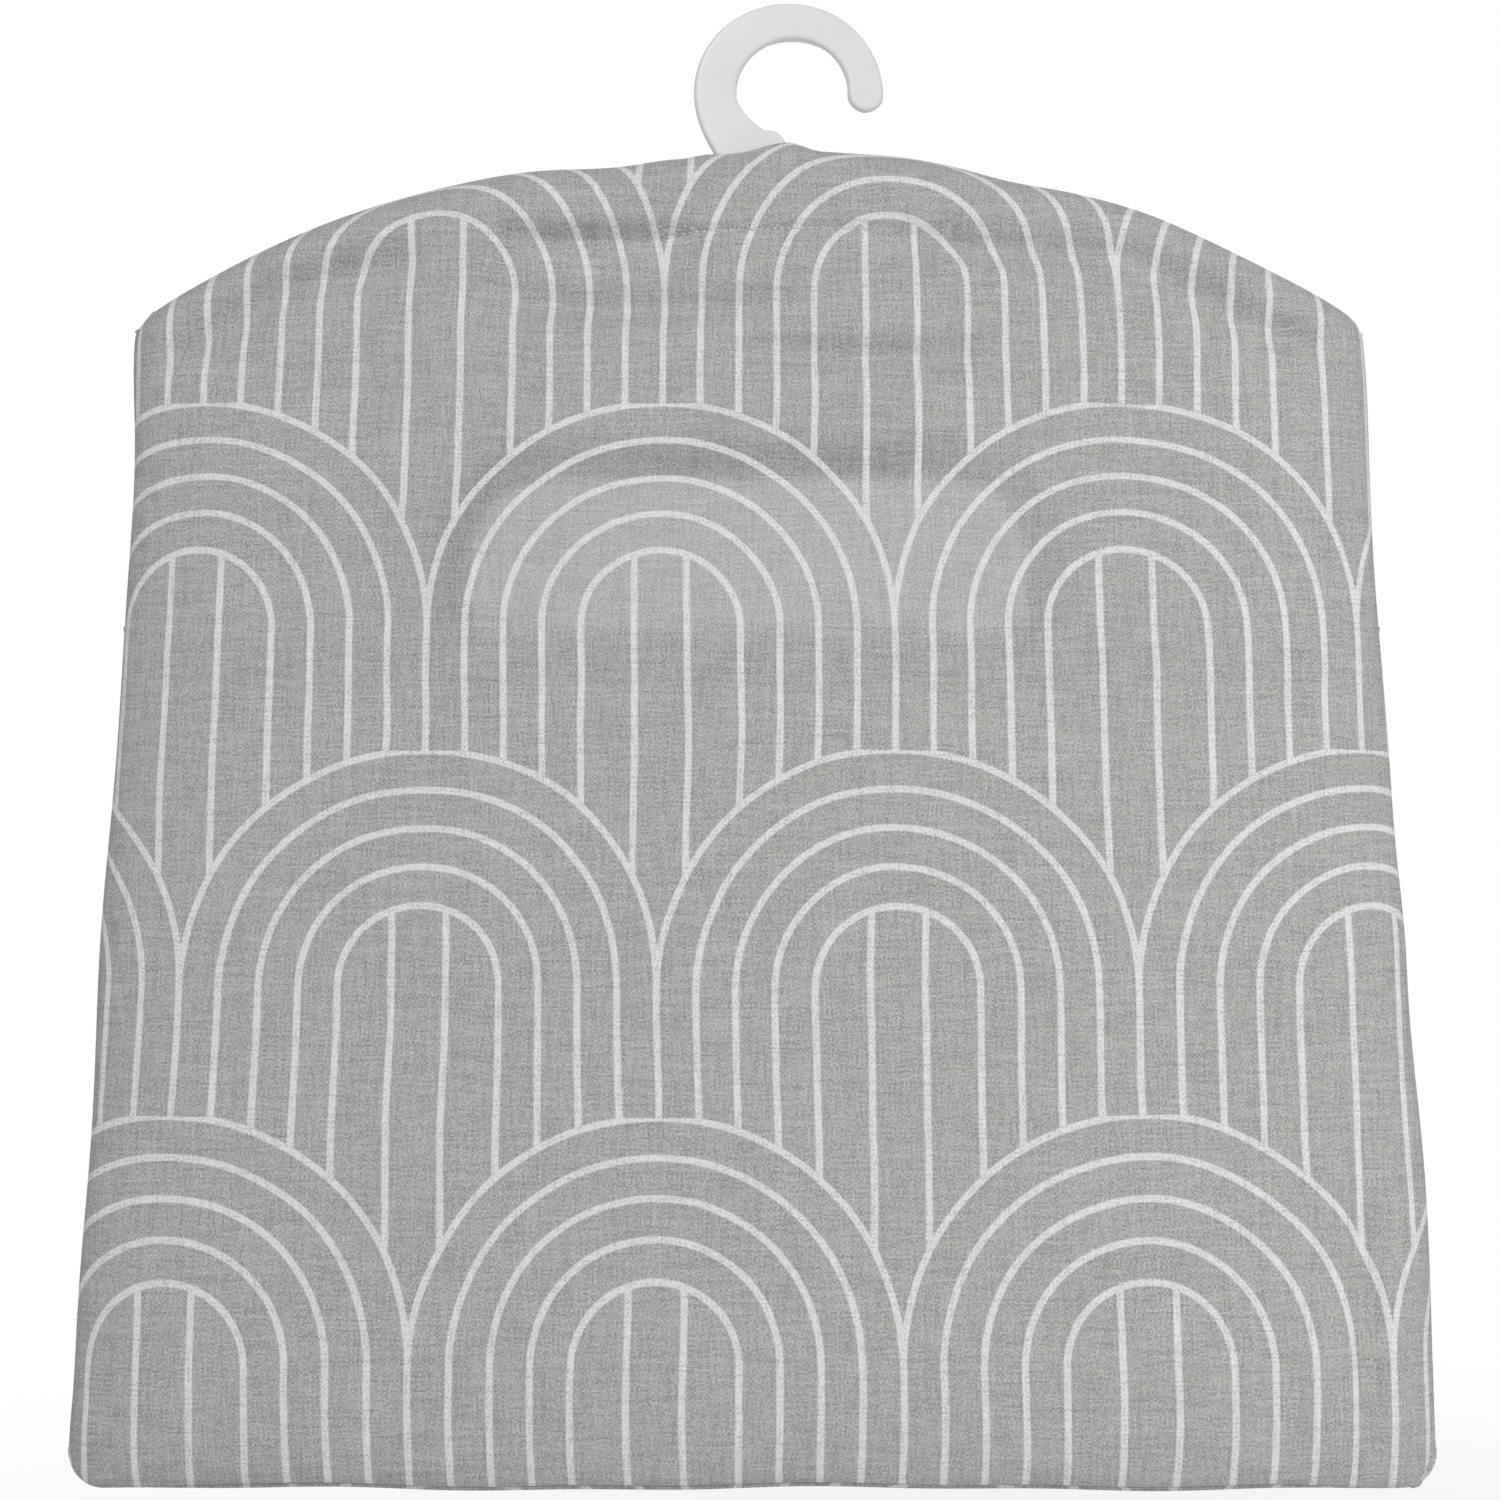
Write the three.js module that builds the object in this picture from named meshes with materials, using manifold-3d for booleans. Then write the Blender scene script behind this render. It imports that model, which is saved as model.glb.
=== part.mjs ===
// A cloth peg bag on a small bow-shaped plastic hanger with an open hook.
// Millimetres, +Z up. The origin is the point inside the hook that rests on the line.
// The closed face of the bag looks along -Y, the face with the mouth along +Y.

import * as THREE from "three";
import { mergeVertices } from "three/addons/utils/BufferGeometryUtils.js";
import Module from "manifold-3d";

// Bag outline
const SHOULDER_WIDTH = 300;
const BOTTOM_WIDTH = 306;
const BAG_HEIGHT = 318;
const SHOULDER_DROP = 45;
const CORNER_RADIUS = 6;

// Cloth and how the bag swells
const CLOTH_THICKNESS = 0.8;
const BELLY_DEPTH = 17;
const SIDE_ROLL = 30;
const BOTTOM_ROLL = 34;
const SHOULDER_ROLL = 6;
const SWELL_END = 58;

// Hanger
const ARM_THICKNESS = 10;
const ARM_DEPTH_MIDDLE = 17;
const ARM_DEPTH_END = 12;
const ARM_EDGE_ROUND = 3;
const HOOK_INNER_RADIUS = 13.8;
const HOOK_BAND = 9.8;
const HOOK_TAPER = 0.9;
const HOOK_THICKNESS = 7;
const HOOK_EDGE_ROUND = 1.5;
const HOOK_OFFSET = 10.5;
const HOOK_RISE = 28.5;
const HOOK_ROOT_WIDTH = 19.5;
const HOOK_LEDGE_HEIGHT = 5;
const HOOK_LEDGE_REACH = 5;
const SEAT_LENGTH = 3;

// Mouth
const MOUTH_WIDTH = 136;
const MOUTH_HEIGHT = 40;
const MOUTH_CORNER = 22;
const MOUTH_DEPTH = 84;
const BINDING_WIDTH = 9.5;
const HEM_DEPTH = 12;

// Sewing thread
const THREAD_WIDTH = 1;
const TACK_LENGTH = 50;
const TACK_OFFSET = 3.5;

// Clearances
const FIT_GAP = 0.3;
const SEAM_GAP = 0.3;
const HANGER_CLEARANCE = 0.6;
const HANGER_END_CLEARANCE = 5;
const HANGER_DROP = 3;
const ROOT_CLEARANCE = 0.6;
const SEAM_INSET = 1.3;

// Faces per curve
const ROLL_STEPS = 4;
const MIDDLE_COLUMNS = 8;
const ARC_SEGMENTS = 10;
const CORNER_SEGMENTS = 6;
const ROUND_SEGMENTS = 2;

const wasm = await Module();
wasm.setup();

// Heights and radii worked out from the sizes above
const crownZ = -HOOK_RISE;
const bottomZ = crownZ - BAG_HEIGHT;
const shoulderHalf = SHOULDER_WIDTH / 2;
const bottomHalf = BOTTOM_WIDTH / 2;
const shoulderRadius = (shoulderHalf ** 2 + SHOULDER_DROP ** 2) / (2 * SHOULDER_DROP);
const shoulderCentreZ = crownZ - shoulderRadius;
const shoulderTipZ = crownZ - SHOULDER_DROP;
const faceY = BELLY_DEPTH / 2;
const innerFaceY = faceY - CLOTH_THICKNESS;
const overHangerY = ARM_THICKNESS / 2 + HANGER_CLEARANCE + CLOTH_THICKNESS;
const armTopRadius = shoulderRadius - HANGER_DROP;
const armBottomZ = crownZ - HANGER_DROP - ARM_DEPTH_MIDDLE;
const mouthTopZ = crownZ - MOUTH_DEPTH;
const mouthBottomZ = mouthTopZ - MOUTH_HEIGHT;

// Solids: a closed geometry to a solid and back, for cuts and joins
function solidOf(geometry) {
  const bare = geometry.clone();
  bare.deleteAttribute("normal");
  bare.deleteAttribute("uv");
  const merged = mergeVertices(bare, 1e-4);
  const mesh = new wasm.Mesh({
    numProp: 3,
    vertProperties: new Float32Array(merged.attributes.position.array),
    triVerts: new Uint32Array(merged.index.array),
  });
  return new wasm.Manifold(mesh);
}

function geometryOf(solid) {
  const mesh = solid.getMesh();
  const geometry = new THREE.BufferGeometry();
  geometry.setAttribute("position", new THREE.BufferAttribute(mesh.vertProperties, 3));
  geometry.setIndex(new THREE.BufferAttribute(mesh.triVerts, 1));
  geometry.computeVertexNormals();
  return geometry;
}

// A plate whose outline is drawn in X and Z, from one Y to another, with rounded edges if asked for
function plate(shape, fromY, toY, edgeRound = 0, curveSegments = CORNER_SEGMENTS) {
  const geometry = new THREE.ExtrudeGeometry(shape, {
    depth: toY - fromY - 2 * edgeRound,
    bevelEnabled: edgeRound > 0,
    bevelThickness: edgeRound,
    bevelSize: edgeRound,
    bevelOffset: -edgeRound,
    bevelSegments: ROUND_SEGMENTS,
    curveSegments,
  });
  return geometry.rotateX(Math.PI / 2).translate(0, toY - edgeRound, 0);
}

function rectangle(fromX, toX, fromZ, toZ) {
  const shape = new THREE.Shape();
  shape.moveTo(fromX, fromZ);
  shape.lineTo(toX, fromZ);
  shape.lineTo(toX, toZ);
  shape.lineTo(fromX, toZ);
  shape.closePath();
  return shape;
}

// Hanger: hook, neck and two bowed arms, moulded in one piece
const armEndRadius = ARM_DEPTH_END / 2;
const armMiddleRadius = armTopRadius - armEndRadius;
const armEndX = shoulderHalf - HANGER_END_CLEARANCE - armEndRadius;
const armEndAngle = Math.asin(armEndX / armMiddleRadius);
const armEndZ = shoulderCentreZ + armMiddleRadius * Math.cos(armEndAngle);
const armLowX = armEndX - armEndRadius * Math.sin(armEndAngle);
const armLowRise = armBottomZ - armEndZ + armEndRadius * Math.cos(armEndAngle);
const armLowRadius = (armLowX ** 2 + armLowRise ** 2) / (2 * armLowRise);
const armLowCentreZ = armBottomZ - armLowRadius;

function armLowEdge(x) {
  return armLowCentreZ + Math.sqrt(armLowRadius ** 2 - x ** 2);
}

const tackTopZ = armLowEdge(Math.abs(TACK_OFFSET) + TACK_LENGTH / 2) - FIT_GAP;
const tackBottomZ = tackTopZ - THREAD_WIDTH;

function armsShape() {
  const lowAngle = Math.asin(armLowX / armLowRadius);
  const up = Math.PI / 2;
  const shape = new THREE.Shape();
  shape.absarc(0, shoulderCentreZ, armTopRadius, up - armEndAngle, up + armEndAngle, false);
  shape.absarc(-armEndX, armEndZ, armEndRadius, up + armEndAngle, up + armEndAngle + Math.PI, false);
  shape.absarc(0, armLowCentreZ, armLowRadius, up + lowAngle, up - lowAngle, true);
  shape.absarc(armEndX, armEndZ, armEndRadius, -up - armEndAngle, up - armEndAngle, false);
  return shape;
}

function hookShape() {
  const seatAngle = Math.asin(SEAT_LENGTH / 2 / HOOK_INNER_RADIUS);
  const innerZ = -HOOK_INNER_RADIUS * Math.cos(seatAngle);
  const outerX = HOOK_OFFSET - HOOK_TAPER;
  const outerRadius = HOOK_INNER_RADIUS + HOOK_BAND;
  const tipOuterX = outerX + outerRadius;
  const tipInnerX = HOOK_OFFSET + HOOK_INNER_RADIUS;
  const tipRadius = (tipOuterX - tipInnerX) / 2;
  const rootLeft = -HOOK_ROOT_WIDTH / 2;
  const rootRight = HOOK_ROOT_WIDTH / 2;
  const rootZ = crownZ - HANGER_DROP - ARM_DEPTH_MIDDLE / 2;
  const stemLeft = outerX - outerRadius;
  const stemRight = HOOK_OFFSET - HOOK_INNER_RADIUS;
  const ledgeZ = crownZ + HOOK_LEDGE_HEIGHT;
  const up = Math.PI / 2;
  const shape = new THREE.Shape();
  shape.moveTo(rootLeft, rootZ);
  shape.lineTo(rootRight, rootZ);
  shape.lineTo(rootRight, crownZ);
  shape.lineTo(rootRight - HOOK_LEDGE_REACH, ledgeZ);
  shape.quadraticCurveTo(stemRight, ledgeZ, stemRight, innerZ);
  shape.absarc(HOOK_OFFSET, innerZ, HOOK_INNER_RADIUS, Math.PI, up + seatAngle, true);
  shape.absarc(HOOK_OFFSET, innerZ, HOOK_INNER_RADIUS, up - seatAngle, 0, true);
  shape.absarc(tipInnerX + tipRadius, innerZ, tipRadius, -Math.PI, 0, false);
  shape.absarc(outerX, innerZ, outerRadius, 0, Math.PI, false);
  shape.quadraticCurveTo(stemLeft, (innerZ + crownZ) / 2, rootLeft, crownZ);
  shape.closePath();
  return shape;
}

function hangerGeometry() {
  const arms = plate(armsShape(), -ARM_THICKNESS / 2, ARM_THICKNESS / 2, ARM_EDGE_ROUND, ARC_SEGMENTS);
  const hook = plate(hookShape(), -HOOK_THICKNESS / 2, HOOK_THICKNESS / 2, HOOK_EDGE_ROUND, ARC_SEGMENTS);
  return geometryOf(solidOf(arms).add(solidOf(hook)));
}

// Bag outline: the shoulder arc, the sides and the bottom with its round corners
function topEdge(x) {
  return shoulderCentreZ + Math.sqrt(shoulderRadius ** 2 - x ** 2);
}

function sideEdge(z) {
  const share = (z - bottomZ) / (shoulderTipZ - bottomZ);
  return bottomHalf + (shoulderHalf - bottomHalf) * Math.min(share, 1);
}

function bottomEdge(x) {
  const past = Math.max(Math.abs(x) - (bottomHalf - CORNER_RADIUS), 0);
  const across = Math.min(past, CORNER_RADIUS);
  return bottomZ + CORNER_RADIUS - Math.sqrt(CORNER_RADIUS ** 2 - across ** 2);
}

// The mouth lies on the flat middle of its face
const flatHalf = sideEdge(mouthBottomZ) - SIDE_ROLL;

// A roll leaves the seam square to the face and lies flat after its length
function rollStop(step, length, height) {
  const angle = (step / ROLL_STEPS) * (Math.PI / 2);
  return {
    distance: length * (1 - Math.cos(angle)),
    height: height * Math.sin(angle),
    angle,
  };
}

// Stops of the cloth from a side seam to the middle of the bag
function columnStop(column) {
  const columns = 2 * ROLL_STEPS + MIDDLE_COLUMNS;
  const fromRight = column > columns / 2;
  const step = fromRight ? columns - column : column;
  const sign = fromRight ? 1 : -1;
  if (step <= ROLL_STEPS) {
    return { ...rollStop(step, SIDE_ROLL, faceY), sign, share: null };
  }
  const share = (column - ROLL_STEPS) / MIDDLE_COLUMNS;
  return { distance: SIDE_ROLL, height: faceY, angle: Math.PI / 2, sign, share };
}

// Stops of the cloth from the bottom seam up to the shoulder seam
function rowStops() {
  const steps = Array.from({ length: ROLL_STEPS + 1 }, (_, step) => step);
  const low = steps.map((step) => ({ ...rollStop(step, BOTTOM_ROLL, faceY), top: false }));
  const high = steps.map((step) => ({ ...rollStop(step, SHOULDER_ROLL, overHangerY), top: true }));
  const underHanger = crownZ - tackBottomZ;
  const flat = { angle: Math.PI / 2, top: true };
  const swell = [
    { ...flat, distance: SWELL_END, height: faceY },
    { ...flat, distance: (SWELL_END + underHanger) / 2, height: (faceY + overHangerY) / 2 },
    { ...flat, distance: underHanger, height: overHangerY },
  ];
  return [...low, ...swell, ...high.reverse()];
}

// One cut of cloth over the whole outline, swollen to one side of the seam plane
function clothSheet(side) {
  const rows = rowStops();
  const columns = 2 * ROLL_STEPS + MIDDLE_COLUMNS;
  const geometry = new THREE.BoxGeometry(columns, 2, rows.length - 1, columns, 1, rows.length - 1);
  const position = geometry.attributes.position;
  for (let i = 0; i < position.count; i += 1) {
    const column = columnStop(Math.round(position.getX(i) + columns / 2));
    const row = rows[Math.round(position.getZ(i) + (rows.length - 1) / 2)];
    const inner = side * position.getY(i) < 0 ? CLOTH_THICKNESS : 0;
    const insetX = inner * Math.cos(column.angle);
    const insetZ = inner * Math.cos(row.angle);
    const insetY = inner * Math.min(Math.sin(column.angle), Math.sin(row.angle));
    const guessZ = row.top ? shoulderTipZ - row.distance : bottomZ + row.distance;
    const edgeX = sideEdge(guessZ);
    const flatX = edgeX - SIDE_ROLL;
    const rollX = column.sign * (edgeX - column.distance);
    const outX = column.share === null ? rollX : flatX * (2 * column.share - 1);
    const reachX = Math.min(Math.abs(outX), shoulderHalf);
    const outZ = row.top ? topEdge(reachX) - row.distance : bottomEdge(outX) + row.distance;
    const height = SEAM_GAP / 2 + Math.min(column.height, row.height) * (1 - SEAM_GAP / 2 / faceY);
    position.setXYZ(
      i,
      outX - column.sign * insetX,
      side * (height - insetY),
      outZ + (row.top ? -insetZ : insetZ),
    );
  }
  return geometry;
}

// The slit in the shoulder seam that lets the hook out
function hookSlit() {
  const half = HOOK_ROOT_WIDTH / 2 + ROOT_CLEARANCE;
  const slit = rectangle(-half, half, crownZ - HANGER_DROP, crownZ + HANGER_DROP);
  const depth = HOOK_THICKNESS / 2 + ROOT_CLEARANCE;
  return solidOf(plate(slit, -depth, depth));
}

// The mouth's arch, grown by an offset and drawn down to a height
function archShape(offset, lowZ) {
  const half = MOUTH_WIDTH / 2 + offset;
  const highZ = mouthTopZ + offset;
  const radius = MOUTH_CORNER + offset;
  const shape = new THREE.Shape();
  shape.moveTo(-half, lowZ);
  shape.lineTo(half, lowZ);
  shape.lineTo(half, highZ - radius);
  shape.absarc(half - radius, highZ - radius, radius, 0, Math.PI / 2, false);
  shape.absarc(radius - half, highZ - radius, radius, Math.PI / 2, Math.PI, false);
  shape.closePath();
  return shape;
}

const bindingFold = CLOTH_THICKNESS;
const bindingOutY = faceY + FIT_GAP + CLOTH_THICKNESS;
const bindingInY = innerFaceY - FIT_GAP - CLOTH_THICKNESS;
const upperLowZ = mouthBottomZ + FIT_GAP;
const pastMouthZ = mouthBottomZ - HEM_DEPTH;
const pastBag = BAG_HEIGHT;

function backPanelGeometry() {
  return geometryOf(solidOf(clothSheet(-1)).subtract(hookSlit()));
}

// The upper cut of the mouth face, from the shoulders to the hem of the lower cut
function frontUpperGeometry() {
  const above = rectangle(-pastBag, pastBag, upperLowZ, upperLowZ + pastBag);
  const keep = solidOf(plate(above, -pastBag, pastBag));
  const mouth = solidOf(plate(archShape(bindingFold + FIT_GAP, pastMouthZ), 0, pastBag));
  return geometryOf(solidOf(clothSheet(1)).intersect(keep).subtract(mouth).subtract(hookSlit()));
}

// The lower cut, which holds the pegs, with its top edge folded in as a hem
function frontLowerGeometry() {
  const below = rectangle(-pastBag, pastBag, mouthBottomZ - pastBag, mouthBottomZ);
  const keep = solidOf(plate(below, -pastBag, pastBag));
  const overlap = CLOTH_THICKNESS / 2;
  const fold = rectangle(-flatHalf, flatHalf, mouthBottomZ - HEM_DEPTH, mouthBottomZ);
  const hem = solidOf(plate(fold, innerFaceY - CLOTH_THICKNESS, innerFaceY + overlap));
  return geometryOf(solidOf(clothSheet(1)).intersect(keep).add(hem));
}

// A strip folded over the raw edge of the arch, inside and outside
function mouthBindingGeometry() {
  const strip = solidOf(plate(archShape(BINDING_WIDTH, upperLowZ), bindingInY, bindingOutY));
  const mouth = solidOf(plate(archShape(0, pastMouthZ), bindingInY - FIT_GAP, bindingOutY + FIT_GAP));
  const past = plate(archShape(2 * BINDING_WIDTH, pastMouthZ), innerFaceY - FIT_GAP, faceY + FIT_GAP);
  const fold = plate(archShape(bindingFold, pastMouthZ - FIT_GAP), bindingInY, bindingOutY);
  const slot = solidOf(past).subtract(solidOf(fold));
  return geometryOf(strip.subtract(mouth).subtract(slot));
}

// Seam threads lie inside the bag along the line where two cuts meet
const threadY = THREAD_WIDTH / 2;
const seamStart = SEAM_INSET;
const seamEnd = SEAM_INSET + THREAD_WIDTH;

function sideSeamGeometry(sign) {
  const lowZ = bottomZ + CORNER_RADIUS + seamEnd;
  const highZ = shoulderTipZ - seamEnd;
  const shape = new THREE.Shape();
  shape.moveTo(sign * (sideEdge(lowZ) - seamStart), lowZ);
  shape.lineTo(sign * (sideEdge(highZ) - seamStart), highZ);
  shape.lineTo(sign * (sideEdge(highZ) - seamEnd), highZ);
  shape.lineTo(sign * (sideEdge(lowZ) - seamEnd), lowZ);
  shape.closePath();
  return plate(shape, -threadY, threadY);
}

function bottomSeamGeometry() {
  const half = bottomHalf - CORNER_RADIUS - seamEnd;
  return plate(rectangle(-half, half, bottomZ + seamStart, bottomZ + seamEnd), -threadY, threadY);
}

function shoulderSeamGeometry(sign) {
  const slitEdge = HOOK_ROOT_WIDTH / 2 + ROOT_CLEARANCE + FIT_GAP;
  const middle = Math.PI / 2;
  const from = middle - sign * Math.asin(slitEdge / shoulderRadius);
  const to = middle - sign * Math.asin((shoulderHalf - CORNER_RADIUS) / shoulderRadius);
  const shape = new THREE.Shape();
  shape.absarc(0, shoulderCentreZ, shoulderRadius - seamStart, from, to, sign > 0);
  shape.absarc(0, shoulderCentreZ, shoulderRadius - seamEnd, to, from, sign < 0);
  shape.closePath();
  return plate(shape, -threadY, threadY);
}

// The short seams beside the mouth, which hold the upper cut to the hem
function besideMouthSeamGeometry(sign) {
  const near = MOUTH_WIDTH / 2 + BINDING_WIDTH + FIT_GAP;
  const ends = [sign * near, sign * flatHalf].sort((a, b) => a - b);
  const lowZ = upperLowZ + FIT_GAP;
  const shape = rectangle(ends[0], ends[1], lowZ, lowZ + THREAD_WIDTH);
  return plate(shape, innerFaceY - FIT_GAP - THREAD_WIDTH, innerFaceY - FIT_GAP);
}

// Rows of top stitching on the hem and on the binding
function hemStitchGeometry() {
  const lowZ = mouthBottomZ - HEM_DEPTH + THREAD_WIDTH;
  const row = rectangle(-flatHalf, flatHalf, lowZ, lowZ + THREAD_WIDTH);
  return plate(row, faceY + FIT_GAP, faceY + FIT_GAP + threadY);
}

function bindingStitchGeometry() {
  const outer = archShape(BINDING_WIDTH - THREAD_WIDTH, upperLowZ);
  const fromY = bindingOutY + FIT_GAP;
  const row = solidOf(plate(outer, fromY, fromY + threadY));
  const inside = archShape(BINDING_WIDTH - 2 * THREAD_WIDTH, pastMouthZ);
  return geometryOf(row.subtract(solidOf(plate(inside, fromY - FIT_GAP, fromY + THREAD_WIDTH))));
}

// The short row through both faces that keeps the hanger up against the shoulder seam
function hangerTackGeometry() {
  const half = TACK_LENGTH / 2;
  const reach = overHangerY - CLOTH_THICKNESS - FIT_GAP;
  const row = rectangle(TACK_OFFSET - half, TACK_OFFSET + half, tackBottomZ, tackTopZ);
  return plate(row, -reach, reach);
}

function moulded() {
  return new THREE.MeshStandardMaterial({ color: 0xe2e4e0, roughness: 0.42, metalness: 0 });
}

function printedCotton() {
  return new THREE.MeshStandardMaterial({ color: 0xaaa59b, roughness: 0.92, metalness: 0 });
}

function thread() {
  return new THREE.MeshStandardMaterial({ color: 0xc9c6be, roughness: 0.7, metalness: 0 });
}

function piece(group, name, geometry, material) {
  const mesh = new THREE.Mesh(geometry, material);
  mesh.name = name;
  group.add(mesh);
}

const pegBag = new THREE.Group();
const hung = new THREE.Group();
hung.position.x = -HOOK_OFFSET;
pegBag.add(hung);

piece(hung, "hanger", hangerGeometry(), moulded());
piece(hung, "back_panel", backPanelGeometry(), printedCotton());
piece(hung, "front_upper_panel", frontUpperGeometry(), printedCotton());
piece(hung, "front_lower_panel", frontLowerGeometry(), printedCotton());
piece(hung, "mouth_binding", mouthBindingGeometry(), printedCotton());
for (const [name, sign] of [["left", -1], ["right", 1]]) {
  piece(hung, `${name}_shoulder_seam_thread`, shoulderSeamGeometry(sign), thread());
  piece(hung, `${name}_side_seam_thread`, sideSeamGeometry(sign), thread());
  piece(hung, `${name}_mouth_seam_thread`, besideMouthSeamGeometry(sign), thread());
}
piece(hung, "bottom_seam_thread", bottomSeamGeometry(), thread());
piece(hung, "hem_stitching", hemStitchGeometry(), thread());
piece(hung, "binding_stitching", bindingStitchGeometry(), thread());
piece(hung, "hanger_tack_stitching", hangerTackGeometry(), thread());

export default pegBag;
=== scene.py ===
import math

import bmesh
import bpy
import numpy as np
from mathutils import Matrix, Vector


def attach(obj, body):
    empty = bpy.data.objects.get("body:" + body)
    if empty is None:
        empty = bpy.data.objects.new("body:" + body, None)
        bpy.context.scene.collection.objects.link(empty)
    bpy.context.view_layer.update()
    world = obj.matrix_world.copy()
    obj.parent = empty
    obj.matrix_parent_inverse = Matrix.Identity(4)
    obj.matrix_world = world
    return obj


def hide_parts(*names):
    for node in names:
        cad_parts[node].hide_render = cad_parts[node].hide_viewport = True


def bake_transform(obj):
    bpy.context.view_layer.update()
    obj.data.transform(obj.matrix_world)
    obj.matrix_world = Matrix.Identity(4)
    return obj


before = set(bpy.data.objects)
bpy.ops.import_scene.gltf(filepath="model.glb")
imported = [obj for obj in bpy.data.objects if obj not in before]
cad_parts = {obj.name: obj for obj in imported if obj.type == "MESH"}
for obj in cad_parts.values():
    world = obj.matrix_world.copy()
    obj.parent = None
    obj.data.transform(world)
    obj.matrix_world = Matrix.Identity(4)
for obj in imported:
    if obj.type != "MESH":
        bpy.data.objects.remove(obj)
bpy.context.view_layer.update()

# Hanger: one moulding of satin white plastic, an open hook on a short neck above two bowed arms.
# Every edge is rounded, and the hook's section draws in towards its far face. The arms lie inside
# the bag, close under its shoulder seam, where the tack row traps them.

# Sizes are in millimetres, with x from the middle of the bag and z from the line it hangs on.
MM = 0.001
HOOK_ASIDE = 10.5
CROWN_Z = -28.5
SHOULDER_HALF = 150.0
SHOULDER_DROP = 45.0
SHOULDER_RADIUS = (SHOULDER_HALF**2 + SHOULDER_DROP**2) / (2 * SHOULDER_DROP)
SHOULDER_CENTRE_Z = CROWN_Z - SHOULDER_RADIUS
ARM_TOP_RADIUS = SHOULDER_RADIUS - 5.0
ARM_END_RADIUS = 6.0
ARM_END_X = SHOULDER_HALF - 5.0 - ARM_END_RADIUS
ARM_LOW_Z = CROWN_Z - 20.0
ARM_DEPTH = 10.0
ARM_RIM = 3.0
HOOK_DEPTH = 7.0
HOOK_RIM = 1.3
HOOK_TAPER = 2.4
HOOK_INNER = 13.8
HOOK_OUTER = 23.6
HOOK_OUTER_X = HOOK_ASIDE - 0.9
SEAT_HALF = 1.5
HOOK_TIP_RUN = 0.9
NECK_HALF = 9.75
NECK_FOOT_X = -3.75
NECK_FOOT_RISE = 8.5
NECK_TOP_Z = CROWN_Z - 1.0
NECK_CORNER = ((8.6, -24.2), (5.2, -23.9))
THROAT = ((3.6, -23.9), (-3.3, -18.2))
NECK_BACK_X = -14.0
SAME_SPOT = 0.05
FACE_INSET = 1.35
WHITE_PLASTIC = (0.692, 0.717, 0.692, 1.0)
WHITE_PLASTIC_SHADE = (0.651, 0.676, 0.653, 1.0)

arm_middle_radius = ARM_TOP_RADIUS - ARM_END_RADIUS
arm_end_angle = math.asin(ARM_END_X / arm_middle_radius)
arm_end_z = SHOULDER_CENTRE_Z + arm_middle_radius * math.cos(arm_end_angle)
arm_low_x = ARM_END_X - ARM_END_RADIUS * math.sin(arm_end_angle)
arm_low_rise = ARM_LOW_Z - arm_end_z + ARM_END_RADIUS * math.cos(arm_end_angle)
arm_low_radius = (arm_low_x**2 + arm_low_rise**2) / (2 * arm_low_rise)


def arc(x, z, radius, start, end, steps):
    """Points along an arc, with its angles in radians."""
    turns = np.linspace(start, end, steps + 1)
    return np.stack([x + radius * np.cos(turns), z + radius * np.sin(turns)], 1)


def bow(start, pull, end, steps):
    """Points along a bow from start to end that leans towards pull."""
    t = np.linspace(0, 1, steps + 1)[:, None]
    start, pull, end = (np.array(p, float) for p in (start, pull, end))
    return (1 - t) ** 2 * start + 2 * t * (1 - t) * pull + t**2 * end


def placed(points):
    """Points in millimetres about the middle of the bag, put in the frame in metres."""
    return (np.asarray(points, float) - np.array([HOOK_ASIDE, 0, 0])) * MM


def new_piece(name, mesh):
    piece = bpy.data.objects.new(name, mesh)
    bpy.context.scene.collection.objects.link(piece)
    return piece


def settle(piece):
    """Turns a piece and its modifiers into one plain mesh."""
    seen = piece.evaluated_get(bpy.context.evaluated_depsgraph_get())
    mesh = bpy.data.meshes.new_from_object(seen)
    piece.modifiers.clear()
    piece.data = mesh
    mesh.name = piece.name
    return piece


def moulded_plate(name, outline, depth, rim, taper=0.0, steps=5):
    """A plate with this outline in x and z, rounded by rim, that narrows by taper to the far face."""
    apart = np.linalg.norm(outline - np.roll(outline, 1, 0), axis=1) > SAME_SPOT
    outline = outline[apart]
    back = outline - np.roll(outline, 1, 0)
    ahead = np.roll(outline, -1, 0) - outline
    back /= np.linalg.norm(back, axis=1)[:, None]
    ahead /= np.linalg.norm(ahead, axis=1)[:, None]
    along = back + ahead
    along /= np.linalg.norm(along, axis=1)[:, None]
    inward = np.stack([-along[:, 1], along[:, 0]], 1)
    turns = np.linspace(0, math.pi / 2, steps + 1)
    stops = [(rim * FACE_INSET, depth / 2)]
    stops += [(rim * (1 - math.sin(a)), depth / 2 - rim * (1 - math.cos(a))) for a in turns]
    stops = [(inset, -y) for inset, y in stops] + [(inset + taper, y) for inset, y in stops[::-1]]
    shape = bmesh.new()
    rings = []
    for inset, y in stops:
        ring = outline + inward * inset
        spots = placed(np.stack([ring[:, 0], np.full(len(ring), y), ring[:, 1]], 1))
        rings.append([shape.verts.new(p) for p in spots])
    for low, high in zip(rings[:-1], rings[1:]):
        for i in range(len(low)):
            shape.faces.new((low[i - 1], low[i], high[i], high[i - 1]))
    shape.faces.new(rings[0][::-1])
    shape.faces.new(rings[-1])
    bmesh.ops.recalc_face_normals(shape, faces=shape.faces)
    mesh = bpy.data.meshes.new(name)
    shape.to_mesh(mesh)
    shape.free()
    return new_piece(name, mesh)


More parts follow.
